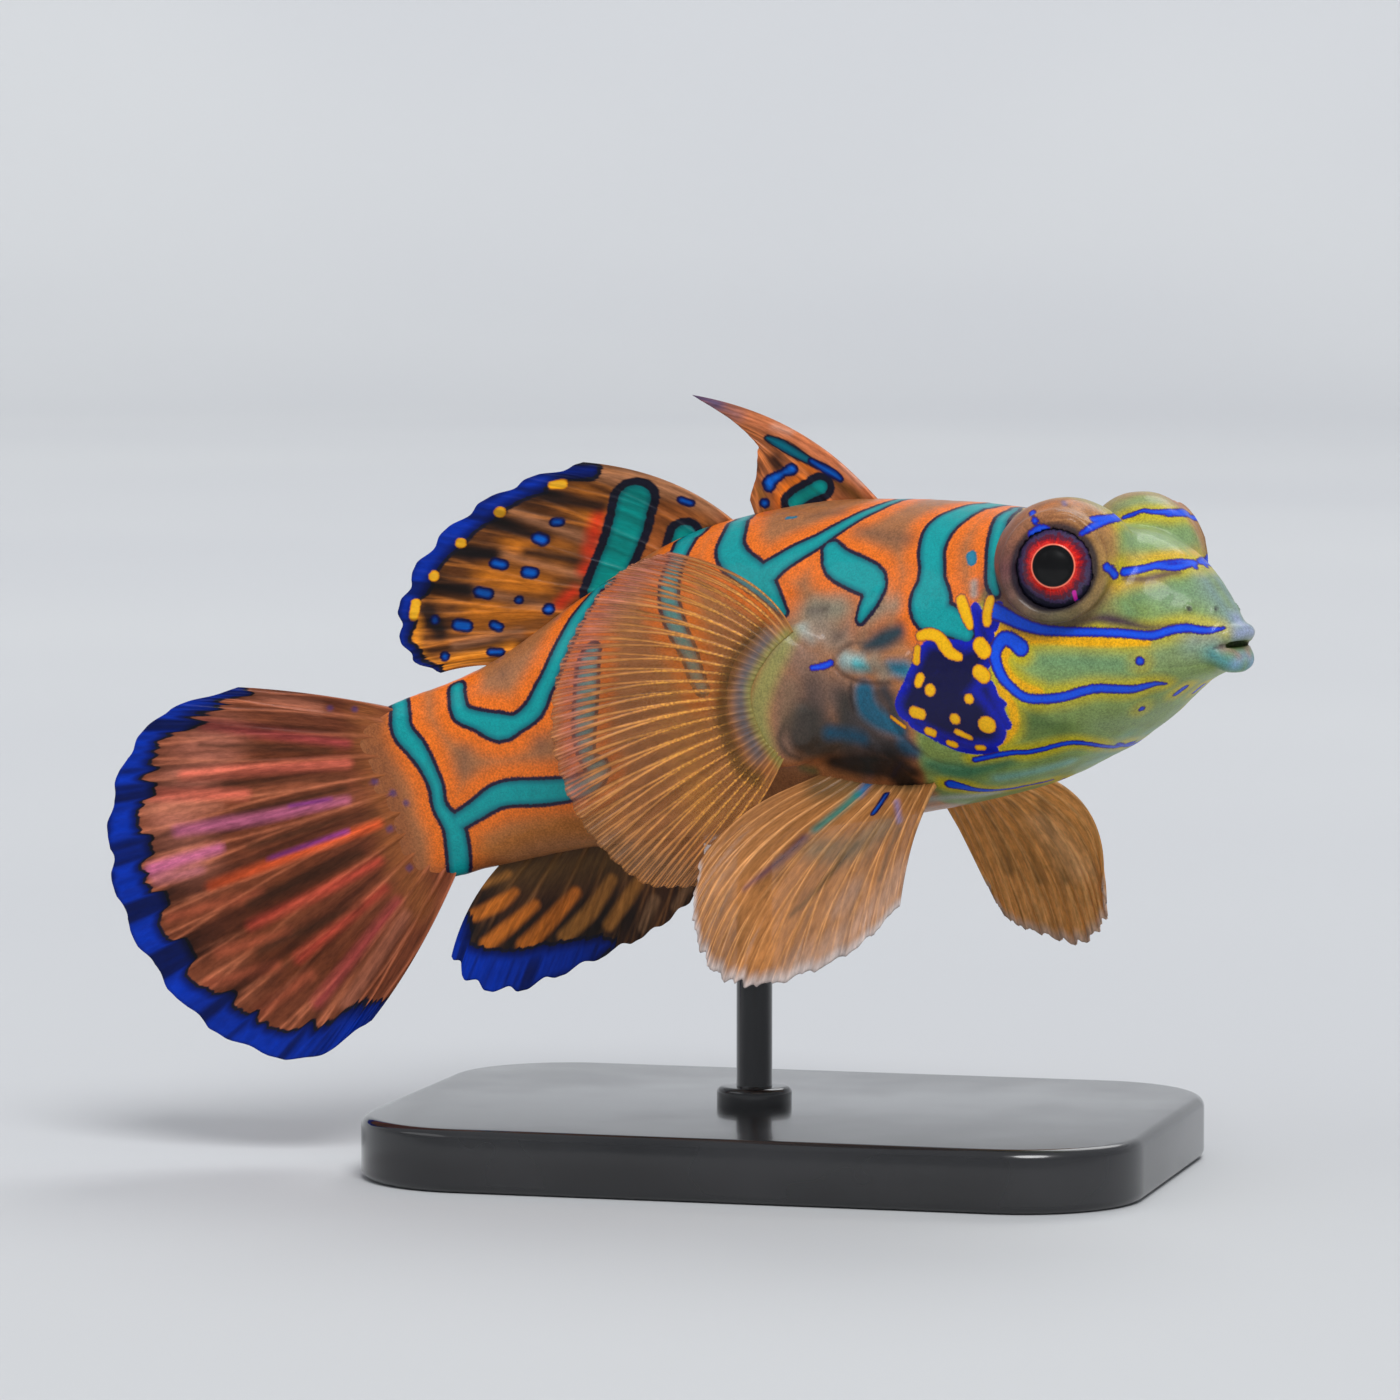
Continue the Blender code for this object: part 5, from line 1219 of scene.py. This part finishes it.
def skin_colours(surface, teal, blue):
    """The skin's colours under its crisp marks, from how far the teal bands and the blue lines are."""
    points = surface.straight
    from_snout, round_it = points[:, 0], polar_angle(points)
    belly = smooth_step(round_it, *BELLY_FROM) * smooth_step(-from_snout, *BELLY_UP_TO)
    body = blend(TAN, BRIGHT_ORANGE, smooth_step(-teal, *ORANGE_BY_BAND)[:, None])
    body = blend(body, BELLY, BELLY_COVER * belly[:, None])
    mottle = 0.5 + 0.5 * noise_at(points, MOTTLE_SCALE, MOTTLE_SEED)[:, None]
    green = np.array(GREEN) * (GREEN_LEAST + GREEN_MOTTLED * mottle) + np.array(GREEN_MOTTLE) * mottle
    by_line = -np.minimum(blue, surface.distance(GOLD_BLUSH) + LIME_WITHIN_BLUSH)
    green = blend(green, LIME, smooth_step(by_line, *LIME_BY_LINE)[:, None])
    nape = smooth_step(from_snout, *NAPE_FROM) * smooth_step(-round_it, *NAPE_DOWN_TO)
    nape_cover = NAPE_COVER * nape[:, None] * (NAPE_LEAST + NAPE_MOTTLED * mottle)
    green = blend(green, NAPE, nape_cover)
    colours = blend(body, green, face_of(surface))
    # the skin's tints, among them painted shade and a painted highlight
    surface.tint(colours, GREY_SPOTS + BROWN_OVALS + SKIN_TINTS + GOLD_TINTS)
    # the lids' colours, with painted shadow in the sockets
    paint_lids(points, colours)
    # marks on the lids, with painted shade in their wrinkles
    surface.tint(colours, LID_TINTS_AND_CREASE_SHADE)
    return colours


def skin():
    """The posed skin with everything that its material reads."""
    obj = straight_skin()
    mesh = obj.data
    surface = Surface(of_vertices(mesh), triangles_of(mesh), folded=True)
    marks = {"cheek": CHEEK, "blue": BLUE_LINES, "gold": GOLD_MARKS, "spots": SPOTS}
    distances = {name: surface.distance(strokes) for name, strokes in marks.items()}
    distances["teal"] = surface.distance(TEAL_BANDS, OVER_THE_BACK)
    give(mesh, "tint", skin_colours(surface, distances["teal"], distances["blue"]), "FLOAT_COLOR")
    give(mesh, "place", surface.straight, "FLOAT_VECTOR")
    give(mesh, "shade", np.ones(len(surface.straight)))
    for name, values in distances.items():
        give(mesh, name, values)
    bend(obj, rise_of(surface)[:, None])
    obj.data.materials.clear()
    obj.data.materials.append(fish_material("fish_skin", SKIN_LAYERS))
    stands_for(obj, "body_skin", "head", "trunk", "tail_stalk")


class Shader:
    """A small writer of materials."""

    def __init__(self, name):
        self.material = bpy.data.materials.new(name)
        self.material.use_nodes = True
        self.tree = self.material.node_tree
        self.principled = self.tree.nodes["Principled BSDF"]

    def node(self, kind, inputs=(), **settings):
        """Adds a node. Inputs is a list of (name or number of the socket, value or socket to link)."""
        node = self.tree.nodes.new(kind)
        for name, value in settings.items():
            setattr(node, name, value)
        for key, value in inputs:
            self.put(node.inputs[key], value)
        return node

    def put(self, socket, value):
        if isinstance(value, bpy.types.NodeSocket):
            self.tree.links.new(value, socket)
        else:
            socket.default_value = (*value, 1) if socket.type == "RGBA" else value

    def set(self, **values):
        for name, value in values.items():
            self.put(self.principled.inputs[name.replace("_", " ")], value)

    def attribute(self, name, output="Fac"):
        return self.node("ShaderNodeAttribute", attribute_name=name).outputs[output]

    def object_place(self):
        return self.node("ShaderNodeTexCoord").outputs["Object"]

    def grey(self, value):
        return self.node("ShaderNodeCombineColor", [(i, value) for i in range(3)]).outputs[0]

    def math(self, operation, *values):
        return self.node("ShaderNodeMath", enumerate(values), operation=operation).outputs[0]

    def vector(self, operation, *values):
        return self.node("ShaderNodeVectorMath", enumerate(values), operation=operation).outputs[0]

    def mix(self, amount, a, b, blend="MIX"):
        inputs = [("Factor", amount), (6, a), (7, b)]
        return self.node("ShaderNodeMix", inputs, data_type="RGBA", blend_type=blend).outputs[2]

    def noise(self, place, scale, detail=2.0, roughness=0.6):
        inputs = [("Vector", place), ("Scale", scale), ("Detail", detail), ("Roughness", roughness)]
        return self.node("ShaderNodeTexNoise", inputs).outputs["Fac"]

    def between(self, value, low, high, to_low=0.0, to_high=1.0):
        """Goes smoothly from one value to another as the input goes from low to high."""
        names = ("Value", "From Min", "From Max", "To Min", "To Max")
        inputs = zip(names, (value, low, high, to_low, to_high))
        return self.node("ShaderNodeMapRange", inputs, interpolation_type="SMOOTHSTEP").outputs[0]

    def bump(self, height, distance, strength):
        inputs = [("Height", height), ("Distance", distance), ("Strength", strength)]
        return self.node("ShaderNodeBump", inputs).outputs[0]


def fish_material(name, layers, grain=SKIN_GRAIN, gloss=SKIN_GLOSS, see_through=False, glitter=0.0):
    """Skin or web: the painted tint, grained, then crisp marks, all darker where the shade says."""
    shader = Shader(name)
    place = shader.attribute("place", "Vector")
    fine = shader.noise(place, grain, *FINE_NOISE)
    coarse = shader.noise(place, grain * COARSER, *COARSE_NOISE)
    speckle = shader.between(fine, *NOISE_RANGE, 1 - SPECKLE, 1 + SPECKLE)
    patches = shader.between(coarse, *COARSE_RANGE, -COARSE_SPECKLE, COARSE_SPECKLE)
    grained = shader.grey(shader.math("ADD", speckle, patches))
    colour = shader.mix(1.0, shader.attribute("tint", "Color"), grained, "MULTIPLY")
    if glitter:
        along = shader.vector("MULTIPLY", place, BEAD_STRETCH)
        beads = shader.noise(along, BEAD_SCALE, BEAD_DETAIL)
        beads = shader.between(beads, *BEAD_RANGE, 0.0, glitter)
        beads = shader.math("MULTIPLY", beads, shader.attribute("glitter"))
        colour = shader.mix(beads, colour, BEAD_COLOUR)
    wobble = shader.math("MULTIPLY_ADD", fine, EDGE_SHIFT, -EDGE_SHIFT / 2)
    for field, edge, inside, depth, line, line_width in layers:
        distance = shader.math("ADD", shader.attribute(field), wobble)
        if line_width:
            outside = shader.between(distance, line_width + LINE_OUTER, line_width - LINE_INNER)
            colour = shader.mix(outside, colour, line)
        core = shader.mix(shader.between(distance, 0.0, -depth), edge, inside)
        core = shader.mix(MARK_GRAIN, core, grained, "MULTIPLY")
        colour = shader.mix(shader.between(distance, EDGE_BLUR, -EDGE_BLUR), colour, core)
    colour = shader.mix(1.0, colour, shader.grey(shader.attribute("shade")), "MULTIPLY")
    shader.set(Base_Color=colour, Specular_IOR_Level=gloss, Coat_Weight=gloss)
    shader.set(Coat_Roughness=COAT_ROUGHNESS, Normal=shader.bump(fine, SKIN_BUMP, BUMP_STRENGTH))
    shader.set(Roughness=shader.between(fine, *NOISE_RANGE, *SKIN_ROUGHNESS))
    if see_through:
        shader.set(Alpha=shader.attribute("alpha"))
    return shader.material


def ray_noise(x, scale, seed):
    """Noise from ray to ray of a fin, the same all along each."""
    return noise_at(np.stack([x * scale, x * 0, x * 0], -1), 1.0, seed)


def web_noise(grid, across, along, seed):
    """Noise for each point of a fin, with one scale across the rays and another along them."""
    x, v = np.meshgrid(grid["x"] * across, grid["v"] * along, indexing="ij")
    return noise_at(np.stack([x, v, x * 0], -1).reshape(-1, 3), 1.0, seed)


def fin_grid(look):
    """The middle surface of a fin as a grid, with what its relief and its colours depend on."""
    base, tips, bow = look["outline"]
    last = look["rays"] - 1
    x = np.linspace(0, last, last * look["per_ray"] + 1)
    u = x / last
    v = np.linspace(0, 1, look["rows"] + 1) ** ROW_SPACING
    from_ray = np.abs(x - np.round(x))
    start, end = catmull_rom(base, u), catmull_rom(tips, u)
    fray = np.abs(ray_noise(x, FRAY_SCALE, look["seed"]))
    short = look["notch"] * smooth_step(from_ray, *NOTCH) + look["fray"] * fray
    end = end + (start - end) * short[:, None]
    middle = (start + end) / 2 + catmull_rom(bow, u)
    weights = np.stack([(1 - v) * (1 - 2 * v), 4 * v * (1 - v), v * (2 * v - 1)])
    points = np.einsum("cui,cv->uvi", np.stack([start, middle, end]), weights)
    normal = np.cross(np.gradient(points, axis=0), np.gradient(points, axis=1))
    normal /= np.linalg.norm(normal, axis=-1, keepdims=True)
    spacing = np.linalg.norm(np.gradient(points, axis=0), axis=-1) * look["per_ray"]
    out = np.cumsum(np.linalg.norm(np.gradient(points, axis=1), axis=-1), axis=1)
    near = from_ray[:, None]
    for apart, low, high in FORKS:
        near = np.abs(near - apart * smooth_step(v, low, high)[None, :])
    thin = 1 - (1 - RAY_TIP) * v[None, :]
    width = RAY_WIDTH * look["width"] * (1 - RAY_TAPER + RAY_TAPER * thin)
    crest = np.exp(-((near * spacing / width) ** 2))
    return {"points": points, "normal": normal, "x": x, "u": u, "v": v, "crest": crest, "thin": thin,
            "spacing": spacing, "out": out}


def fin_mesh(name, grid, look):
    """The closed sheet of a fin, still straight. Its grid's points come twice, once for each side."""
    u, v = grid["u"], grid["v"]
    height = RAY_HEIGHT * look["height"] * grid["thin"] * grid["crest"]
    thick = WEB + (WEB_TIP - WEB) * v[None, :] + 2 * height
    across = look["root"] * (1 - ROOT_FALL * (2 * u - 1) ** 2)
    thick = thick + across[:, None] * np.exp(-((v / look["reach"]) ** 2))[None, :]
    swing = FIN_SWING * np.sin(2 * math.pi * grid["x"])[:, None] * (v * (1 - SWING_FALL * v))[None, :]
    middle = grid["points"] + grid["normal"] * swing[..., None]
    upper = middle + grid["normal"] * thick[..., None] / 2
    lower = middle - grid["normal"] * thick[..., None] / 2
    columns, lines = upper.shape[:2]
    size = columns * lines
    index = np.arange(size).reshape(columns, lines)
    quads = np.stack([index[:-1, :-1], index[1:, :-1], index[1:, 1:], index[:-1, 1:]], -1).reshape(-1, 4)
    rim = np.concatenate([index[:, 0], index[-1, 1:], index[-2::-1, -1], index[0, -2:0:-1]])
    after = np.roll(rim, -1)
    sides = np.stack([rim, rim + size, after + size, after], -1)
    faces = np.vstack([quads, quads[:, ::-1] + size, sides])
    points = np.vstack([upper.reshape(-1, 3), lower.reshape(-1, 3)])
    return outward(new_object(name, points, faces.tolist()))


def grid_surface(grid):
    """The fin's middle surface, for strokes to be carried onto."""
    points = grid["points"]
    columns, lines = points.shape[:2]
    index = np.arange(columns * lines).reshape(columns, lines)
    a, b, c, d = index[:-1, :-1], index[1:, :-1], index[1:, 1:], index[:-1, 1:]
    triangles = np.vstack([np.stack([a, b, c], -1).reshape(-1, 3), np.stack([a, c, d], -1).reshape(-1, 3)])
    return Surface(points.reshape(-1, 3), triangles)


def folds(grid, look):
    """How bright each place of a fin is: painted shade of soft folds along the rays, less of it at the
    root.
    """
    waves = [ray_noise(grid["x"], scale, look["seed"] + shift) for scale, shift in FOLD_WAVES]
    dark = np.clip(FOLD_LEVEL + np.dot(FOLD_HEIGHTS, waves), 0, 1)
    bright = 1 - look["folds"] * dark[:, None] * smooth_step(grid["v"], *FOLDS_FROM)[None, :]
    pleat = smooth_step(waves[0] + PLEAT_DETAIL * waves[1], *PLEAT)[:, None]
    pleated = look["edge_fold_shade"] * pleat * smooth_step(grid["v"], *PLEATS_FROM)[None, :]
    return (bright * (1 - pleated)).ravel()


def streaks(grid, look):
    """A base of fin colours: dark between the rays, light on them, each ray a little different."""
    tone = ray_noise(grid["x"], RAY_TONE_SCALE, look["seed"])[:, None]
    patches = web_noise(grid, *WEB_PATCHES, look["seed"] + PATCH_SEED).reshape(grid["crest"].shape)
    amount = np.clip(grid["crest"] * RAY_LIGHT + look["mixed"] * (tone + patches), 0, 1)[..., None]
    return blend(look["dark"], look["light"], amount).reshape(-1, 3)


def fin_fields(grid, surface, look):
    """What a fin's material reads: distances to its marks, and how dark, gold and solid each place is."""
    out = np.tile(grid["v"], len(grid["x"]))
    fields = {layer[0]: surface.distance(strokes) for layer, strokes in look["marks"]}
    # painted shade of the folds, which the material multiplies into the colour
    fields["shade"] = folds(grid, look)
    if "margin" in fields:
        fields["margin"] = fields["margin"] + look["ragged"] * (fields["shade"] - RAGGED_LEVEL)
    if look["glitter"]:
        part = smooth_step(out, *GLITTER_FROM) * smooth_step(-out, *GLITTER_TO)
        fields["glitter"] = (GLITTER_LEAST + (1 - GLITTER_LEAST) * grid["crest"].ravel()) * part
    if look["web_alpha"] is not None:
        solid = np.maximum(grid["crest"], np.exp(-((grid["v"] / SOLID_ROOT) ** 2))[None, :])
        web = (look["web_alpha"] * (1 - look["clearer"] * (1 - grid["u"])))[:, None]
        fields["alpha"] = (web + (RAY_ALPHA - web) * solid).ravel()
    return fields


def add_fin(name, look):
    """A fin, or a pair that mirror each other, each standing for its CAD node."""
    grid = fin_grid(look)
    surface = grid_surface(grid)
    colours = streaks(grid, look)
    breaks = web_noise(grid, *STROKE_BREAKS, look["seed"] + BREAK_SEED)
    surface.tint(colours, look["tints"], np.clip(WHOLE_STROKE + look["broken"] * breaks, 0, 1))
    pale = look["tips"] * smooth_step(np.tile(grid["v"], len(grid["x"])), *TIPS_FROM)[:, None]
    colours = blend(colours, TIP_COLOUR, pale)
    fields = fin_fields(grid, surface, look)
    layers = [layer for layer, strokes in look["marks"]]
    see_through = "alpha" in fields
    material = fish_material(name + "_web", layers, FIN_GRAIN, FIN_GLOSS, see_through, look["glitter"])
    across = np.broadcast_to(grid["x"][:, None] * grid["spacing"].mean(), grid["out"].shape)
    place = np.stack([across, grid["out"] * GRAIN_LENGTH, np.zeros_like(across)], -1).reshape(-1, 3)
    for side in look["sides"]:
        flip = (1, -1, 1) if side == "left" else (1, 1, 1)
        node = name + ("_" + side if side else "")
        shown = {**grid, "points": grid["points"] * flip, "normal": grid["normal"] * flip}
        obj = fin_mesh(node + "_rays", shown, look)
        give(obj.data, "tint", np.vstack([colours, colours]), "FLOAT_COLOR")
        give(obj.data, "place", np.vstack([place, place]), "FLOAT_VECTOR")
        for field, values in fields.items():
            give(obj.data, field, np.concatenate([values, values]))
        bend(obj)
        obj.data.materials.append(material)
        stands_for(obj, look["slot"], node)


def eyes():
    """Both eyeballs, the left one the mirror of the right, which the photograph shows."""
    flip = np.array((1, -1, 1))
    points, faces = ellipsoid((0, 0, 0), (EYE_RADIUS,) * 3, sides=96, rings=72)
    out = np.arccos(np.clip(points[:, 2] / EYE_RADIUS, -1, 1)) * EYE_RADIUS
    ridge = RIDGE_HEIGHT * np.exp(-(((out - PUPIL_RADIUS * RIDGE_AT) / RIDGE_WIDTH) ** 2))
    points = points * (1 + (ridge / EYE_RADIUS)[:, None])
    matrix = np.array(Vector(flip * EYE_AXIS).to_track_quat("Z", "Y").to_matrix())
    right = points @ matrix.T + flip * EYE_CENTRE
    surface = Surface(right, triangles_of(new_object("measure", right, faces).data))
    bpy.data.objects.remove(bpy.data.objects["measure"])
    fields = {name: surface.distance(strokes) for name, (_, _, strokes) in EYE_GLINTS.items()}
    wet = eye_material()
    for name, straight in (("right", right), ("left", right * flip)):
        ball = outward(new_object("eyeball_" + name, straight, faces))
        give(ball.data, "out", out)
        give(ball.data, "place", points, "FLOAT_VECTOR")
        for field, values in fields.items():
            give(ball.data, field, values)
        bend(ball)
        ball.data.materials.append(wet)
        stands_for(ball, "eye", "eye_" + name)


def eye_material():
    """A wet eye: the iris in rings with streaks and clouds, its glints, and the pupil in a bright rim."""
    shader = Shader("wet_eye")
    place = shader.attribute("place", "Vector")
    radius = shader.attribute("out")
    rays = shader.vector("NORMALIZE", shader.vector("MULTIPLY", place, (1.0, 1.0, 0.0)))
    streak = shader.between(shader.noise(rays, STREAK_SCALE), *NOISE_RANGE, -STREAK_SHIFT, STREAK_SHIFT)
    cloud = shader.between(shader.noise(place, CLOUD_SCALE), *NOISE_RANGE, -CLOUD_SHIFT, CLOUD_SHIFT)
    out = shader.math("ADD", shader.math("ADD", radius, streak), cloud)
    colour = shader.node("ShaderNodeRGB").outputs[0]
    colour.default_value = (*INNER_IRIS, 1)
    for ring, tone in IRIS_RINGS:
        colour = shader.mix(shader.between(out, ring - RING_BLUR, ring), colour, tone)
    specks = shader.noise(place, SPECK_SCALE, SPECK_DETAIL)
    specks = shader.between(specks, *SPECK_RANGE, 0.0, SPECK_COVER)
    colour = shader.mix(specks, colour, SPECK_TONE, "MULTIPLY")
    for name, (tone, blur, _) in EYE_GLINTS.items():
        colour = shader.mix(shader.between(shader.attribute(name), blur, -GLINT_INSIDE), colour, tone)
    for tone, (outside, inside) in ((PUPIL_RIM, RIM_EDGE), (PUPIL_COLOUR, PUPIL_EDGE)):
        cover = shader.between(radius, PUPIL_RADIUS + outside, PUPIL_RADIUS + inside)
        colour = shader.mix(cover, colour, tone)
    shader.set(Base_Color=colour, Roughness=0.3, Specular_IOR_Level=0.15)
    shader.set(Coat_Weight=0.6, Coat_Roughness=0.02, Coat_IOR=1.33)
    return shader.material


def stands_for(obj, slot, *nodes):
    """Ties a piece to the body and hides the CAD nodes that it stands for. The slot is not used."""
    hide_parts(*nodes)
    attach(obj, BODY)


def stand_material():
    """Black acrylic with faint wipe marks."""
    shader = Shader("black_acrylic")
    place = shader.object_place()
    smear = shader.noise(place, SMEAR_SCALE, SMEAR_DETAIL)
    fine = shader.noise(place, STUDIO_GRAIN)
    shader.set(Base_Color=shader.mix(shader.between(smear, *NOISE_RANGE), ACRYLIC_DARK, ACRYLIC_LIGHT))
    shader.set(Roughness=shader.between(smear, *NOISE_RANGE, *ACRYLIC_ROUGHNESS))
    shader.set(Coat_Weight=0.3, Coat_Roughness=0.05)
    shader.set(Normal=shader.bump(fine, ACRYLIC_BUMP, ACRYLIC_BUMP_STRENGTH))
    return shader.material


def turned(profile, centre, sides):
    """The points of a profile of (radius, height), turned about an upright line."""
    turn = np.linspace(0, 2 * math.pi, sides, endpoint=False)
    return [(centre[0] + r * math.cos(a), centre[1] + r * math.sin(a), z) for r, z in profile for a in turn]


def base_plate():
    """The plate with rounded corners and edges, and the height of its top."""
    low, high = (np.array(corner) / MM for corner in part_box("stand_base"))
    steps = 4 * PLATE_CORNER_STEPS
    turn = (np.arange(steps) + 0.5) * 2 * math.pi / steps
    circle = np.stack([np.cos(turn), np.sin(turn)], -1)
    corner = (high - low)[:2] / 2 - PLATE_CORNER
    rings = []
    for angle in np.linspace(-math.pi / 2, math.pi / 2, PLATE_EDGE_STEPS):
        radius = PLATE_CORNER - PLATE_EDGE * (1 - math.cos(angle))
        middle = low[2] + PLATE_EDGE if angle < 0 else high[2] - PLATE_EDGE
        flat = (low + high)[:2] / 2 + np.sign(circle) * corner + circle * radius
        rings.append(np.hstack([flat, np.full((steps, 1), middle + PLATE_EDGE * math.sin(angle))]))
    return new_object("base_plate", np.vstack(rings), ring_faces(len(rings), steps), MM), high[2]


def rod_and_collar(floor):
    """The rod, with a low rounded collar where it meets the plate."""
    low, high = (np.array(corner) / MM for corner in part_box("stand_rod"))
    rod, top = (high - low)[0] / 2, floor + COLLAR_HEIGHT
    out = rod + COLLAR_OUT
    profile = [(out, floor - COLLAR_SUNK), (out, top - COLLAR_EDGE)]
    for angle in np.linspace(0, math.pi / 2, COLLAR_STEPS)[1:]:
        back, down = 1 - math.cos(angle), 1 - math.sin(angle)
        profile.append((out - COLLAR_EDGE * back, top - COLLAR_EDGE * down))
    profile += [(rod + NECK_OUT, top), (rod, top + NECK_UP), (rod, high[2])]
    points = turned(profile, (low + high)[:2] / 2, ROD_SIDES)
    return new_object("rod_and_collar", points, ring_faces(len(profile), ROD_SIDES), MM)


def stand():
    """The base plate and the rod, of one material."""
    acrylic = stand_material()
    plate, floor = base_plate()
    for piece, node in ((plate, "stand_base"), (rod_and_collar(floor), "stand_rod")):
        outward(piece)
        piece.data.materials.append(acrylic)
        piece.data.shade_smooth()
        piece.data.set_sharp_from_angle(angle=SHARP_ANGLE)
        stands_for(piece, "stand", node)


def cove():
    """A pale floor that rises all round into a soft wall."""
    wall = FLOOR_RADIUS + FLOOR_CORNER
    profile = [(r, 0.0) for r in np.linspace(FLAT_START, FLOOR_RADIUS, FLAT_RINGS)]
    for angle in np.linspace(CORNER_START, math.pi / 2, CORNER_RINGS):
        out, rise = math.sin(angle), 1 - math.cos(angle)
        profile.append((FLOOR_RADIUS + FLOOR_CORNER * out, FLOOR_CORNER * rise))
    profile += [(wall, z) for z in np.linspace(FLOOR_CORNER + WALL_START, FLOOR_HEIGHT, WALL_RINGS)]
    points = [*turned(profile, (0, 0), FLOOR_SIDES), (0, 0, 0)]
    faces = ring_faces(len(profile), FLOOR_SIDES)[:-2]
    faces += [(len(points) - 1, i, (i + 1) % FLOOR_SIDES) for i in range(FLOOR_SIDES)]
    obj = outward(new_object("floor", points, faces))
    obj.data.shade_smooth()
    shader = Shader("pale_paper")
    place = shader.object_place()
    tone = shader.between(shader.noise(place, PAPER_PATCHES), *NOISE_RANGE)
    shader.set(Base_Color=shader.mix(tone, PAPER_DARK, PAPER_LIGHT), Roughness=0.8)
    fine = shader.noise(place, STUDIO_GRAIN)
    shader.set(Normal=shader.bump(fine, PAPER_BUMP, PAPER_BUMP_STRENGTH))
    obj.data.materials.append(shader.material)


def studio():
    """Camera, soft lights from far away, so that floor and wall are lit evenly, and surroundings."""
    scene = bpy.context.scene
    camera = bpy.data.objects.new("camera", bpy.data.cameras.new("camera"))
    camera.data.sensor_width = SENSOR
    camera.data.lens = SENSOR * CAMERA_DISTANCE / FRAME_WIDTH
    camera.data.clip_start = CLIP_START
    camera.location = EYE_POINT * MM
    camera.rotation_euler = Vector(BACK).to_track_quat("Z", "Y").to_euler()
    scene.collection.objects.link(camera)
    scene.camera = camera
    scene.world = bpy.data.worlds.new("studio")
    scene.world.use_nodes = True
    background = scene.world.node_tree.nodes["Background"]
    background.inputs["Color"].default_value = (*WORLD_COLOUR, 1)
    background.inputs["Strength"].default_value = WORLD_STRENGTH
    for name, direction, strength, spread in SUNS:
        light = bpy.data.lights.new(name, "SUN")
        light.energy = strength
        light.angle = math.radians(spread)
        sun = bpy.data.objects.new(name, light)
        sun.rotation_euler = Vector(direction).to_track_quat("Z", "Y").to_euler()
        scene.collection.objects.link(sun)
    scene.view_settings.view_transform = "Standard"


def main():
    """The whole scene."""
    skin()
    eyes()
    for name, own in FINS.items():
        add_fin(name, {**FIN_DEFAULTS, **own})
    stand()
    cove()
    studio()


BODY = sorted(frame["bodies"])[0]
main()
